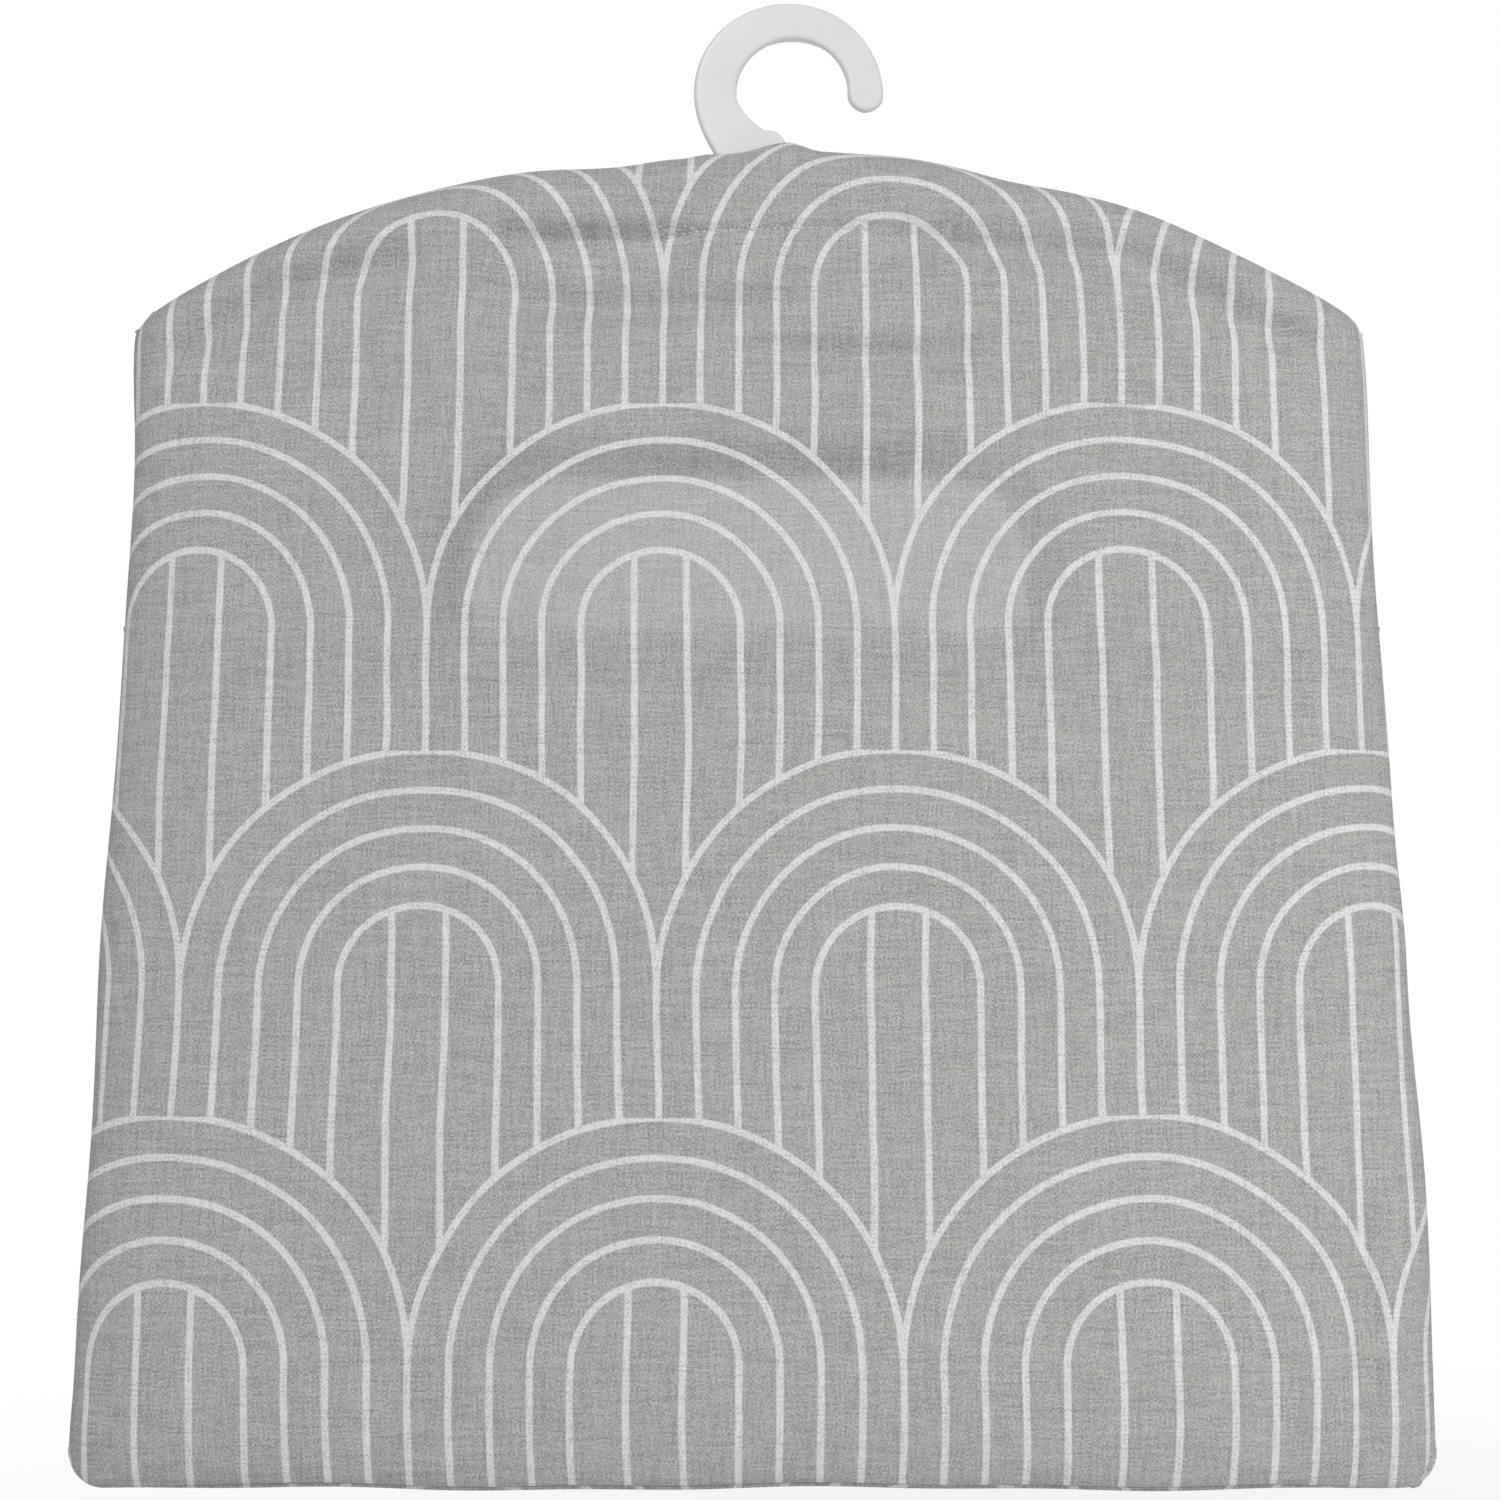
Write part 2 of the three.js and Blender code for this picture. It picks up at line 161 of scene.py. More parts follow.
class Wire:
    """A node's socket. Sums and products of wires add the Math nodes that work them out."""

    def __init__(self, tree, socket=None):
        self.tree = tree
        self.socket = socket

    def node(self, kind, settings, values, out=0):
        """Adds a node of this kind, sets it, feeds its sockets and gives one of its outputs."""
        made = self.tree.nodes.new(kind)
        for name, setting in settings.items():
            setattr(made, name, setting)
        for key, value in values.items():
            if isinstance(value, Wire):
                self.tree.links.new(value.socket, made.inputs[key])
            else:
                made.inputs[key].default_value = value
        return Wire(self.tree, made.outputs[out] if made.outputs else None)

    def sum(self, operation, *values):
        return self.node("ShaderNodeMath", {"operation": operation}, dict(enumerate(values)))

    def __add__(self, other):
        return self.sum("ADD", self, other)

    def __sub__(self, other):
        return self.sum("SUBTRACT", self, other)

    def __rsub__(self, other):
        return self.sum("SUBTRACT", other, self)

    def __mul__(self, other):
        return self.sum("MULTIPLY", self, other)

    def __truediv__(self, other):
        return self.sum("DIVIDE", self, other)

    def __abs__(self):
        return self.sum("ABSOLUTE", self)

    __radd__ = __add__
    __rmul__ = __mul__


def mixed(wire, share, first, second):
    """Two colours mixed by a share from 0 to 1."""
    values = {0: share, 6: first, 7: second}
    return wire.node("ShaderNodeMix", {"data_type": "RGBA"}, values, out=2)


def ramped(wire, value, low, high, start=0.0, end=1.0):
    """A value's smooth rise from start to end as it goes from low to high."""
    values = {"Value": value, 1: low, 2: high, 3: start, 4: end}
    return wire.node("ShaderNodeMapRange", {"interpolation_type": "SMOOTHSTEP"}, values)


def new_finish(name):
    """A material, its shader's sockets and a loose wire to start its nodes from."""
    material = bpy.data.materials.new(name)
    material.use_nodes = True
    tree = material.node_tree
    return material, tree.nodes["Principled BSDF"].inputs, Wire(tree)


def feed(inputs, name, wire):
    """Links a wire to one of a shader's sockets."""
    wire.tree.links.new(wire.socket, inputs[name])


def satin_plastic():
    """White plastic, a little cloudy, with a fine grain and duller rims."""
    material, inputs, wire = new_finish("satin_white_plastic")
    spot = wire.node("ShaderNodeTexCoord", {}, {}, out="Object")
    cloudy = wire.node("ShaderNodeTexNoise", {}, {"Vector": spot, "Scale": 55.0, "Detail": 3.0})
    grain = wire.node("ShaderNodeTexNoise", {}, {"Vector": spot, "Scale": 2600.0, "Detail": 2.0})
    edge = wire.node("ShaderNodeNewGeometry", {}, {}, out="Pointiness")
    worn = ramped(wire, edge, 0.52, 0.60)
    shade = mixed(wire, ramped(wire, cloudy, 0.35, 0.7), WHITE_PLASTIC, WHITE_PLASTIC_SHADE)
    feed(inputs, "Base Color", shade)
    feed(inputs, "Roughness", 0.36 + cloudy * 0.12 + worn * 0.08)
    bump = wire.node("ShaderNodeBump", {}, {"Strength": 0.08, "Distance": 0.0002, "Height": grain})
    feed(inputs, "Normal", bump)
    inputs["IOR"].default_value = 1.49
    return material


UP = math.pi / 2
arm_low_angle = math.asin(arm_low_x / arm_low_radius)
arms_outline = np.concatenate([
    arc(0, SHOULDER_CENTRE_Z, ARM_TOP_RADIUS, UP - arm_end_angle, UP + arm_end_angle, 72),
    arc(-ARM_END_X, arm_end_z, ARM_END_RADIUS, UP + arm_end_angle, UP + arm_end_angle + math.pi, 16),
    arc(0, ARM_LOW_Z - arm_low_radius, arm_low_radius, UP + arm_low_angle, UP - arm_low_angle, 72),
    arc(ARM_END_X, arm_end_z, ARM_END_RADIUS, -UP - arm_end_angle, UP - arm_end_angle, 16),
])
seat_angle = math.asin(SEAT_HALF / HOOK_INNER)
eye_z = -HOOK_INNER * math.cos(seat_angle)
tip_inner_x = HOOK_ASIDE + HOOK_INNER
tip_radius = (HOOK_OUTER_X + HOOK_OUTER - tip_inner_x) / 2
neck_low_z = ARM_LOW_Z + NECK_FOOT_RISE
hook_back = (HOOK_OUTER_X - HOOK_OUTER, eye_z)
hook_outline = np.concatenate([
    [(NECK_FOOT_X, neck_low_z), (NECK_HALF, neck_low_z), (NECK_HALF, NECK_TOP_Z)],
    bow((NECK_HALF, NECK_TOP_Z), *NECK_CORNER, 8),
    bow(*THROAT, (HOOK_ASIDE - HOOK_INNER, eye_z), 14),
    arc(HOOK_ASIDE, eye_z, HOOK_INNER, math.pi, UP + seat_angle, 28),
    arc(HOOK_ASIDE, eye_z, HOOK_INNER, UP - seat_angle, 0, 28),
    arc(tip_inner_x + tip_radius, eye_z - HOOK_TIP_RUN, tip_radius, -math.pi, 0, 18),
    arc(HOOK_OUTER_X, eye_z, HOOK_OUTER, 0, math.pi, 64),
    bow(hook_back, (NECK_BACK_X, (eye_z + CROWN_Z) / 2), (-NECK_HALF, CROWN_Z), 14),
])
hanger = moulded_plate("hanger_moulding", arms_outline, ARM_DEPTH, ARM_RIM)
hook = moulded_plate("hook_blank", hook_outline, HOOK_DEPTH, HOOK_RIM, HOOK_TAPER)
join = hanger.modifiers.new("moulded_in_one", "BOOLEAN")
join.operation = "UNION"
join.solver = "EXACT"
join.object = hook
settle(hanger)
bpy.data.objects.remove(hook)
hanger.data.shade_smooth()
hanger.data.set_sharp_from_angle(angle=math.radians(38))
hanger.data.materials.clear()
hanger.data.materials.append(satin_plastic())
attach(hanger, "hung_bag")
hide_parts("hanger")

# Back panel: one cut of printed linen-look cotton, the closed face of the bag. It is sewn to the
# front cuts along the shoulders, sides and bottom, right sides together, and turned out, so its
# raw edges lie inside. It lies over the hanger's arms and swells a little below them.
BOTTOM_Z = -346.5
BOTTOM_HALF = 153.0
TIP_Z = CROWN_Z - SHOULDER_DROP
BOTTOM_CORNER = 8.0
CLOTH = 0.75
FACE = 8.5
OVER_ARMS = 9.0
LEAN_IN = 0.8
SIDE_ROLL = 30.0
TIP_ROLL = 13.0
BOTTOM_ROLL = 34.0
SHOULDER_ROLL = 12.0
SLIT_LIFT = 4.6
SLIT_TURNED = SLIT_LIFT - 0.8
SEAM_GAP = 0.12
SEAM_TUCK = 4.0
SEAM_SHIFT = 2.2
SLIT_REACH = (9.5, 18)
TACK_Z = -51.8
TACK_ENDS = (-21.5, 28.5)
MOUTH_TOP_Z = -112.5
MOUTH_LOW_Z = -152.5
MOUTH_HALF = 68.0
MOUTH_CORNER = 22.0
BINDING = 9.5
HEM = 12.0
EDGE_STOPS = [0, 0.12, 0.4, 0.8, 1.3, 2, 3, 4.2, 5.6, 7.2, 9, 11, 13, 15.2]
CLOTH_STEP = 2.2
PANEL_HEIGHT = 318.0
FINE_ROWS = ((236.0, 284.0, 1.2), (284.0, 302.5, 0.9))
TIP_START = 145.5
TIP_RUN = 4.6
TIP_DROP = 2.6

# The sway of the sewn edges: how far each soft bump stands out, its middle and its width.
LEFT_SWAY = ((1.0, -82, 20), (-1.3, -138, 42), (0.8, -337, 11))
RIGHT_SWAY = ((2.6, -295, 68), (1.1, -222, 18))
SHOULDER_SWAY = (
    (1.4, -105, 34),
    (-2.7, -32, 18),
    (-2.1, -2.5, 8),
    (-1.3, -11, 7),
    (0.6, 8, 5),
    (0.5, 40, 12),
    (-0.8, 64, 10),
    (1.3, 97, 18),
)

# Soft folds of the two faces: the two ends, the width and the height, which is negative for a valley.
NEAR_FOLDS = (
    (((-74, -67), (26, -69)), 4.6, -3.8),
    (((-8, -80.5), (68, -82)), 4.2, -3.8),
    (((-86, -110), (86, -110)), 6.0, -1.2),
    (((-132, -65), (-72, -56)), 5.0, -3.4),
    (((-150, -88), (-108, -62)), 5.0, -2.4),
    (((28, -52), (104, -55)), 5.0, -3.8),
    (((84, -52), (146, -84)), 5.0, -3.0),
    (((140, -262), (142, -372)), 3.0, -3.4),
)
FAR_FOLDS = (
    (((-60, -66), (20, -60)), 4.5, 0.6),
    (((-10, -80), (64, -74)), 5.5, 0.55),
    (((-112, -118), (-84, -176)), 8, 0.8),
    (((108, -120), (82, -180)), 8, 0.7),
)
FOLD_BOW = 3.0

# The crease beside the tack row: how far below the row it lies, its widths above and below its
# bottom, and its depth left of the row and under it.
CREASE_DROP = 1.6
CREASE_ABOVE = 2.8
CREASE_BELOW = 22.0
CREASE_LEFT = 4.3
CREASE_MIDDLE = 0.8


def eased(low, high, x):
    """A smooth rise from 0 at low to 1 at high."""
    t = np.clip((x - low) / (high - low), 0, 1)
    return t * t * (3 - 2 * t)


def between(low, high, soft, x):
    """1 between low and high, with soft ends."""
    return eased(low - soft, low + soft, x) - eased(high - soft, high + soft, x)


def hump(x, middle, width):
    """A soft bump that is 1 in its middle."""
    return np.exp(-(((x - middle) / width) ** 2))


def humps(x, bumps):
    """The sum of soft bumps, each given by its height, middle and width."""
    return sum(height * hump(x, middle, width) for height, middle, width in bumps)


def ripple(x, z, length, seed):
    """An even, wandering unevenness of about this wave length, from -1 to 1."""
    draw = np.random.default_rng(seed)
    total = 0
    for _ in range(7):
        lean, start = draw.uniform(0, 2 * math.pi, 2)
        pace = 2 * math.pi / (length * draw.uniform(0.7, 1.6))
        total = total + np.sin((x * math.cos(lean) + z * math.sin(lean)) * pace + start)
    return total / 4.2


def side_edge(x, z):
    """Half the width of the bag on x's side, with the sway of the sewn edge."""
    share = np.clip((z - BOTTOM_Z) / (TIP_Z - BOTTOM_Z), 0, 1)
    left = humps(z, LEFT_SWAY) + 0.35 * np.sin(z / 13)
    right = humps(z, RIGHT_SWAY) + 0.35 * np.sin(z / 15 + 1)
    return BOTTOM_HALF + (SHOULDER_HALF - BOTTOM_HALF) * share + np.where(x < 0, left, right)


def shoulder_edge(x):
    """Height of the shoulder seam, with its soft tips and the sway of the sewn edge."""
    reach = np.minimum(np.abs(x), SHOULDER_HALF)
    tip = np.clip((reach - TIP_START) / TIP_RUN, 0, 1)
    drop = TIP_DROP * (1 - np.sqrt(1 - tip**2))
    bow_z = SHOULDER_CENTRE_Z + np.sqrt(SHOULDER_RADIUS**2 - reach**2)
    return bow_z + humps(x, SHOULDER_SWAY) - drop


def bottom_edge(x):
    """Height of the bottom seam, with its round corners and the sway of the sewn edge."""
    past = np.clip((np.abs(x) - (BOTTOM_HALF - BOTTOM_CORNER)) / BOTTOM_CORNER, 0, 1)
    sway = 0.35 * np.sin(x / 21 + 0.6) + 0.2 * np.sin(x / 8.3)
    return BOTTOM_Z + BOTTOM_CORNER * (1 - np.sqrt(1 - past**2)) + sway * (1 - past)


def slit_share(x):
    """1 over the gap in the top seam where the hook comes out, 0 past its ends."""
    return 1 - eased(*SLIT_REACH, np.abs(x))


def roll(distance, length):
    """Cloth that leaves a seam square to the face and lies flat after a length, from 0 to 1."""
    t = np.clip(distance / length, 0, 1)
    return np.sqrt(1 - (1 - t) ** 2)


def let_out(distance, length, height):
    """Cloth taken up between a distance and the end of its roll, beyond the flat length."""
    t = np.linspace(0, 1, 400)
    steps = np.hypot(np.diff(t * length), np.diff(height * roll(t, 1))) - length / 399
    left = np.append(np.cumsum(steps[::-1])[::-1], 0)
    return np.interp(distance / length, t, left)


def mouth_distance(x, z):
    """How far a point lies outside the mouth's arch."""
    ax = np.abs(x) - (MOUTH_HALF - MOUTH_CORNER)
    az = z - (MOUTH_TOP_Z - MOUTH_CORNER)
    round_part = np.hypot(np.maximum(ax, 0), np.maximum(az, 0))
    return round_part + np.minimum(np.maximum(ax, az), 0) - MOUTH_CORNER


def soft_fold(x, z, ends, width, height):
    """A low soft fold of the cloth along a line from one end to the other."""
    (x0, z0), (x1, z1) = ends
    run = math.hypot(x1 - x0, z1 - z0)
    ux, uz = (x1 - x0) / run, (z1 - z0) / run
    along = ((x - x0) * ux + (z - z0) * uz) / run
    across = (z - z0) * ux - (x - x0) * uz + FOLD_BOW * np.sin(along * 3.1)
    return height * between(0.12, 0.88, 0.2, along) * np.exp(-((across / width) ** 2))


def swell(x, z, far):
    """How far the cloth stands out from the seam plane, on the near or on the far face."""
    side = side_edge(x, z) - np.abs(x)
    top = shoulder_edge(x) - z
    low = z - bottom_edge(x)
    reach = np.clip(np.abs(x), 0, arm_low_x)
    under_arm = ARM_LOW_Z - arm_low_radius + np.sqrt(arm_low_radius**2 - reach**2)
    below_arm = under_arm - z
    side_length = TIP_ROLL + (SIDE_ROLL - TIP_ROLL) * eased(15, 60, top)
    edge_fade = roll(side, side_length) * roll(low, BOTTOM_ROLL)
    slit = SLIT_LIFT * slit_share(x)
    height = slit + (OVER_ARMS - slit) * roll(top, SHOULDER_ROLL)
    height = height + (FACE - OVER_ARMS) * eased(3, 55, below_arm)
    down_arm = top / np.maximum(top - below_arm, 1)
    height = height - LEAN_IN * eased(0.25, 1.05, down_arm) * (1 - eased(2, 60, below_arm))
    tacked = between(TACK_ENDS[0], TACK_ENDS[1], 4, x)
    height = height - 1.0 * tacked * hump(z, TACK_Z, 1.3)
    pucker = np.sin(x * 1.24 + 1.1 * np.sin(x / 6.1)) * np.exp(-np.abs(z - TACK_Z) / 5.5)
    height = height + 0.2 * tacked * pucker
    relief = 0.45 * ripple(x, z, 85, 11 + far) + 0.12 * ripple(x, z, 26, 21 + far)
    if not far:
        rim = mouth_distance(x, z)
        above_hem = eased(MOUTH_LOW_Z - 1.5, MOUTH_LOW_Z + 1.5, z)
        relief = relief + 0.45 * between(0, BINDING, 1.6, rim) * above_hem
        relief = relief + 0.35 * between(MOUTH_LOW_Z - HEM, MOUTH_LOW_Z, 1.5, z)
        over = z - (TACK_Z - CREASE_DROP)
        crease = np.where(over > 0, hump(over, 0, CREASE_ABOVE), hump(over, 0, CREASE_BELOW))
        depth = CREASE_LEFT * between(-60, -15, 10, x) + CREASE_MIDDLE * between(-8, 42, 8, x)
        relief = relief - crease * depth
    for fold in FAR_FOLDS if far else NEAR_FOLDS:
        relief = relief + soft_fold(x, z, *fold)
    relief = relief * eased(4, 22, top) * eased(2, 16, side)
    gather = 0.16 * np.sin(z / 1.9 + 2 * np.sin(z / 14)) * np.exp(-((side - 5) / 5) ** 2)
    return SEAM_GAP + (height + relief + gather * eased(20, 40, top)) * edge_fade


def painted_show_through(x, z):
    """Painted light and shade for what lies behind the thin near face: 1 for painted light where the
    mouth is open, -1 for painted shade over its binding, and less painted shade over its hem and the
    lower edge of the hanger's arms."""
    rim = mouth_distance(x, z)
    above_hem = eased(MOUTH_LOW_Z - 3, MOUTH_LOW_Z + 6, z)
    painted_light_mask = 1 - eased(-4.5, -1.5, rim)
    painted_shade_mask = eased(-3.0, 0.0, rim) * (1 - eased(2, 13, rim)) * (1 - 0.45 * eased(30, 70, x))
    painted_shade_mask = painted_shade_mask * (0.85 + 0.2 * ripple(x, z, 30, 31))
    hem = between(MOUTH_LOW_Z - HEM, MOUTH_LOW_Z, 2.5, z)
    hem = hem * eased(6, 20, SHOULDER_HALF - np.abs(x))
    arm = hump(shoulder_edge(x) - z, 13.5, 3.2) * between(86, 134, 8, np.abs(x))
    return (painted_light_mask - painted_shade_mask) * above_hem - 0.2 * hem - 0.35 * arm


def stops_across(span):
    """Distances over a span, close together by its two ends."""
    middle = np.linspace(EDGE_STOPS[-1], span - EDGE_STOPS[-1], round((span - 30) / CLOTH_STEP))
    return np.concatenate([EDGE_STOPS[:-1], middle, span - np.array(EDGE_STOPS[-2::-1])])


def flat_cut(x, z, tucked):
    """Where a point of the bag lies on the flat cut, before the edges roll over."""
    side = side_edge(x, z) - np.abs(x)
    across = x + np.sign(x) * let_out(np.where(tucked, 0, side), SIDE_ROLL, FACE)
    across = across + np.sign(x) * np.where(tucked, 2 * side, 0)
    up = z - let_out(z - bottom_edge(x), BOTTOM_ROLL, FACE)
    up = up + let_out(shoulder_edge(x) - z, SHOULDER_ROLL, OVER_ARMS)
    return np.stack([across, up], -1)


def cloth_piece(name, grid, cut, outward, skip, behind=None):
    """A cloth from a grid of points, its flat cut as the UV map and its thickness on the inside."""
    rows, columns = grid.shape[:2]
    spot = np.arange(rows * columns).reshape(rows, columns)
    quads = np.stack([spot[:-1, :-1], spot[:-1, 1:], spot[1:, 1:], spot[1:, :-1]], -1)
    quads = quads[~skip]
    points = grid.reshape(-1, 3)
    first = points[quads[:, 1]] - points[quads[:, 0]]
    second = points[quads[:, 2]] - points[quads[:, 1]]
    if np.cross(first, second)[:, 1].sum() * outward < 0:
        quads = quads[:, ::-1]
    mesh = bpy.data.meshes.new(name)
    mesh.from_pydata(placed(points).tolist(), [], quads.tolist())
    uv = mesh.uv_layers.new(name="cut")
    corners = np.empty(len(mesh.loops), np.int32)
    mesh.loops.foreach_get("vertex_index", corners)
    uv.data.foreach_set("uv", (cut.reshape(-1, 2) * MM)[corners].ravel())
    # A value per point for the painted light and shade of what lies behind the cloth.
    if behind is not None:
        mark = mesh.attributes.new("painted_show_through", "FLOAT", "POINT")
        mark.data.foreach_set("value", behind.ravel())
    shape = bmesh.new()
    shape.from_mesh(mesh)
    bmesh.ops.delete(shape, geom=[v for v in shape.verts if not v.link_faces], context="VERTS")
    shape.to_mesh(mesh)
    shape.free()
    mesh.shade_smooth()
    piece = new_piece(name, mesh)
    wall = piece.modifiers.new("cloth", "SOLIDIFY")
    wall.thickness = CLOTH * MM
    wall.offset = -1
    wall.use_quality_normals = True
    wall.material_offset = 1
    for finish in (printed_cotton, cotton_reverse):
        mesh.materials.append(finish)
    settle(piece).data.set_sharp_from_angle(angle=math.radians(60))
    return piece


YARN = 0.53
COTTON_GREY = (0.372, 0.376, 0.358, 1.0)
COTTON_DARK = (0.222, 0.225, 0.211, 1.0)
COTTON_PALE = (0.545, 0.550, 0.530, 1.0)
PRINT_WHITE_AND_PAINTED_LIGHT = (0.715, 0.731, 0.707, 1.0)
SHADOW = (0.0, 0.0, 0.0, 1.0)
# How far the painted light over the open mouth and the painted shade over the binding change the
# cotton's colour.
OPENING_PAINTED_LIGHT = 0.15
DOUBLED_PAINTED_SHADE = 0.18
FIBRE = 0.42
FLECK = 1.2
ARCH_RADIUS = 55.0
ARCH_LINE = 1.65
ARCH_GAP = 9.1
ARCH_LINES = 5
ARCH_DROP = 84.0
STEM_OFFSET = 6.2


def threads(wire, x, y, length, width, seed):
    """Streaks of uneven yarn, this long along x and this wide along y."""
    spot = wire.node("ShaderNodeCombineXYZ", {}, {0: x / length, 1: y / width, 2: seed})
    return wire.node("ShaderNodeTexNoise", {}, {"Vector": spot, "Scale": 1.0, "Detail": 1.5})


def weave(wire, x, y):
    """A plain weave of slubbed yarns: each crossing has the tone of the yarn on top."""
    sway_x = x + (threads(wire, x, y, 9.0, 7.0, 17.0) - 0.5) * 1.2
    sway_y = y + (threads(wire, x, y, 7.0, 9.0, 19.0) - 0.5) * 1.2
    warp_yarn = wire.sum("FLOOR", sway_x / YARN)
    weft_yarn = wire.sum("FLOOR", sway_y / YARN)
    warp_on_top = wire.sum("FLOORED_MODULO", warp_yarn + weft_yarn, 2.0)
    warp = threads(wire, y, warp_yarn, 9.0, 0.57, 7.0)
    weft = threads(wire, x, weft_yarn, 12.0, 0.57, 1.0)
    return warp_on_top * warp + (1 - warp_on_top) * weft


def arch_print(wire, x, y):
    """White concentric arches in a half-drop repeat, each row lying over the row above it."""
    drop = (0.0 - y) / ARCH_DROP
    row = wire.sum("FLOOR", drop)
    below = (drop - row) * ARCH_DROP
    shift = wire.sum("FLOORED_MODULO", row, 2.0) * 0.5
    span = 2 * ARCH_RADIUS
    across = abs(wire.sum("FRACT", x / span + shift) - 0.5) * span
    rise = wire.sum("MAXIMUM", ARCH_RADIUS - below, 0.0)
    near = wire.sum("SQRT", across * across + rise * rise)
    inside = wire.sum("LESS_THAN", near, ARCH_RADIUS + ARCH_LINE / 2)
    behind = ARCH_RADIUS - across
    ring = inside * near + (1 - inside) * behind
    leg = inside * across + (1 - inside) * behind
    count = (ARCH_RADIUS - ring) / ARCH_GAP
    nearest = wire.sum("MINIMUM", wire.sum("ROUND", count), ARCH_LINES - 1.0)
    off_line = abs(count - nearest) * ARCH_GAP
    core = ARCH_RADIUS - (ARCH_LINES - 1) * ARCH_GAP
    off_stem = abs(leg - STEM_OFFSET) + wire.sum("GREATER_THAN", ring, core) * ARCH_GAP
    return wire.sum("MINIMUM", off_line, off_stem)


def linen_cotton(name, ink, ground, dark, pale, paint_show_through=False):
    """Grey linen-look cotton with slubbed yarns; ink is how much of the print shows, and the last flag
    paints light and shade into the colour for what lies behind the cloth."""
    material, inputs, wire = new_finish(name)
    cut = wire.node("ShaderNodeUVMap", {"uv_map": "cut"}, {})
    apart = wire.node("ShaderNodeSeparateXYZ", {}, {0: cut}, out=0).socket.node
    x = Wire(wire.tree, apart.outputs[0]) * 1000.0
    y = Wire(wire.tree, apart.outputs[1]) * 1000.0
    fibre = threads(wire, x, y, FIBRE, FIBRE, 9.0)
    fleck = threads(wire, x, y, FLECK, FLECK, 23.0)
    slub = threads(wire, x, y, 16.0, 0.5, 3.0)
    cloudy = threads(wire, x, y, 26.0, 22.0, 5.0)
    yarn = weave(wire, x, y) * 0.36 + fibre * 0.50 + fleck * 0.14
    tone = mixed(wire, ramped(wire, yarn, 0.33, 0.67), dark, pale)
    tone = mixed(wire, ramped(wire, slub, 0.58, 0.80) * 0.06, tone, pale)
    tone = mixed(wire, 0.06 + cloudy * 0.15, tone, ground)
    if paint_show_through:
        # Painted light where the mouth lies open behind the cloth, painted shade over the binding, hem
        # and arms.
        behind = wire.node("ShaderNodeAttribute", {"attribute_name": "painted_show_through"}, {}, out="Fac")
        painted_light_mask = wire.sum("MAXIMUM", behind, 0.0)
        painted_shade_mask = wire.sum("MAXIMUM", 0.0 - behind, 0.0)
        tone = mixed(wire, painted_light_mask * OPENING_PAINTED_LIGHT, tone, PRINT_WHITE_AND_PAINTED_LIGHT)
        tone = mixed(wire, painted_shade_mask * DOUBLED_PAINTED_SHADE, tone, SHADOW)
    height = yarn
    if ink:
        wander_x = (threads(wire, x, y, 60.0, 48.0, 11.0) - 0.5) * 2.4
        wander_y = (threads(wire, x, y, 52.0, 66.0, 13.0) - 0.5) * 2.4
        off = arch_print(wire, x + wander_x, y + wander_y) + (fibre - 0.5) * 0.7
        line = ramped(wire, off, ARCH_LINE / 2 + 0.12, ARCH_LINE / 2 - 0.16)
        cover = line * ink * ramped(wire, yarn, 0.36, 0.58, 0.42, 1.0)
        tone = mixed(wire, cover, tone, PRINT_WHITE_AND_PAINTED_LIGHT)
        feed(inputs, "Roughness", 0.94 - cover * 0.10)
        height = yarn + line * ink * 0.12
    else:
        feed(inputs, "Roughness", 0.90 + yarn * 0.08)
    feed(inputs, "Base Color", tone)
    bump = wire.node("ShaderNodeBump", {}, {"Strength": 0.35, "Distance": 0.00025, "Height": height})
    feed(inputs, "Normal", bump)
    inputs["Specular IOR Level"].default_value = 0.2
    return material


REVERSE_INK = 0.3
cotton_greys = (COTTON_GREY, COTTON_DARK, COTTON_PALE)
# This cotton also carries painted light and shade for what lies behind it.
printed_cotton = linen_cotton("printed_cotton", 1.0, *cotton_greys, paint_show_through=True)
cotton_reverse = linen_cotton("cotton_reverse", REVERSE_INK, *cotton_greys)

column_stops = stops_across(2 * SHOULDER_HALF) / SHOULDER_HALF - 1
even_rows = stops_across(PANEL_HEIGHT)
fine_rows = np.concatenate([np.arange(*span) for span in FINE_ROWS])
rows_under = even_rows[even_rows < fine_rows[0] - 0.5]
rows_over = even_rows[even_rows > fine_rows[-1] + 0.5]
row_stops = np.concatenate([rows_under, fine_rows, rows_over]) / PANEL_HEIGHT
tuck_stops = np.array([SEAM_TUCK, SEAM_TUCK / 2])


def seam_shift(x):
    """How far the bottom seam has rolled towards the near face."""
    return 0.15 + SEAM_SHIFT * (1 - eased(112, 148, np.abs(x)))


def seam_rise(x):
    """How far the bottom seam is lifted as it rolls towards the near face."""
    return BOTTOM_ROLL * (1 - np.sqrt(1 - (seam_shift(x) / FACE) ** 2))


def panel_grid(far, rows_of):
    """Rows of points over a whole face, with the seam allowance tucked in along both sides."""
    shares = np.concatenate([[-1, -1], column_stops, [1, 1]])
    tucks = np.concatenate([tuck_stops, np.zeros(len(column_stops)), tuck_stops[::-1]])
    grid, cut = [], []
    for row in rows_of(shares * SHOULDER_HALF):
        z = row["z"]
        x = shares * (side_edge(shares, z) - row.get("pull", 0))
        edge_pull = 0.3 * (np.abs(shares) == 1) * eased(2, 14, z - bottom_edge(x))
        inset_x = x - np.sign(shares) * np.maximum(tucks, edge_pull)
        out = row["out"](x, z) if "out" in row else swell(x, z, far)
        out = np.where(tucks > 0, np.minimum(out, SEAM_GAP + tucks * 0.05), out)
        grid.append(np.stack([inset_x, out if far else -out, z], 1))
        flat = flat_cut(inset_x, z, tucks > 0)
        flat[:, 1] += row.get("more", 0)
        cut.append(flat)
    return np.array(grid), np.array(cut)


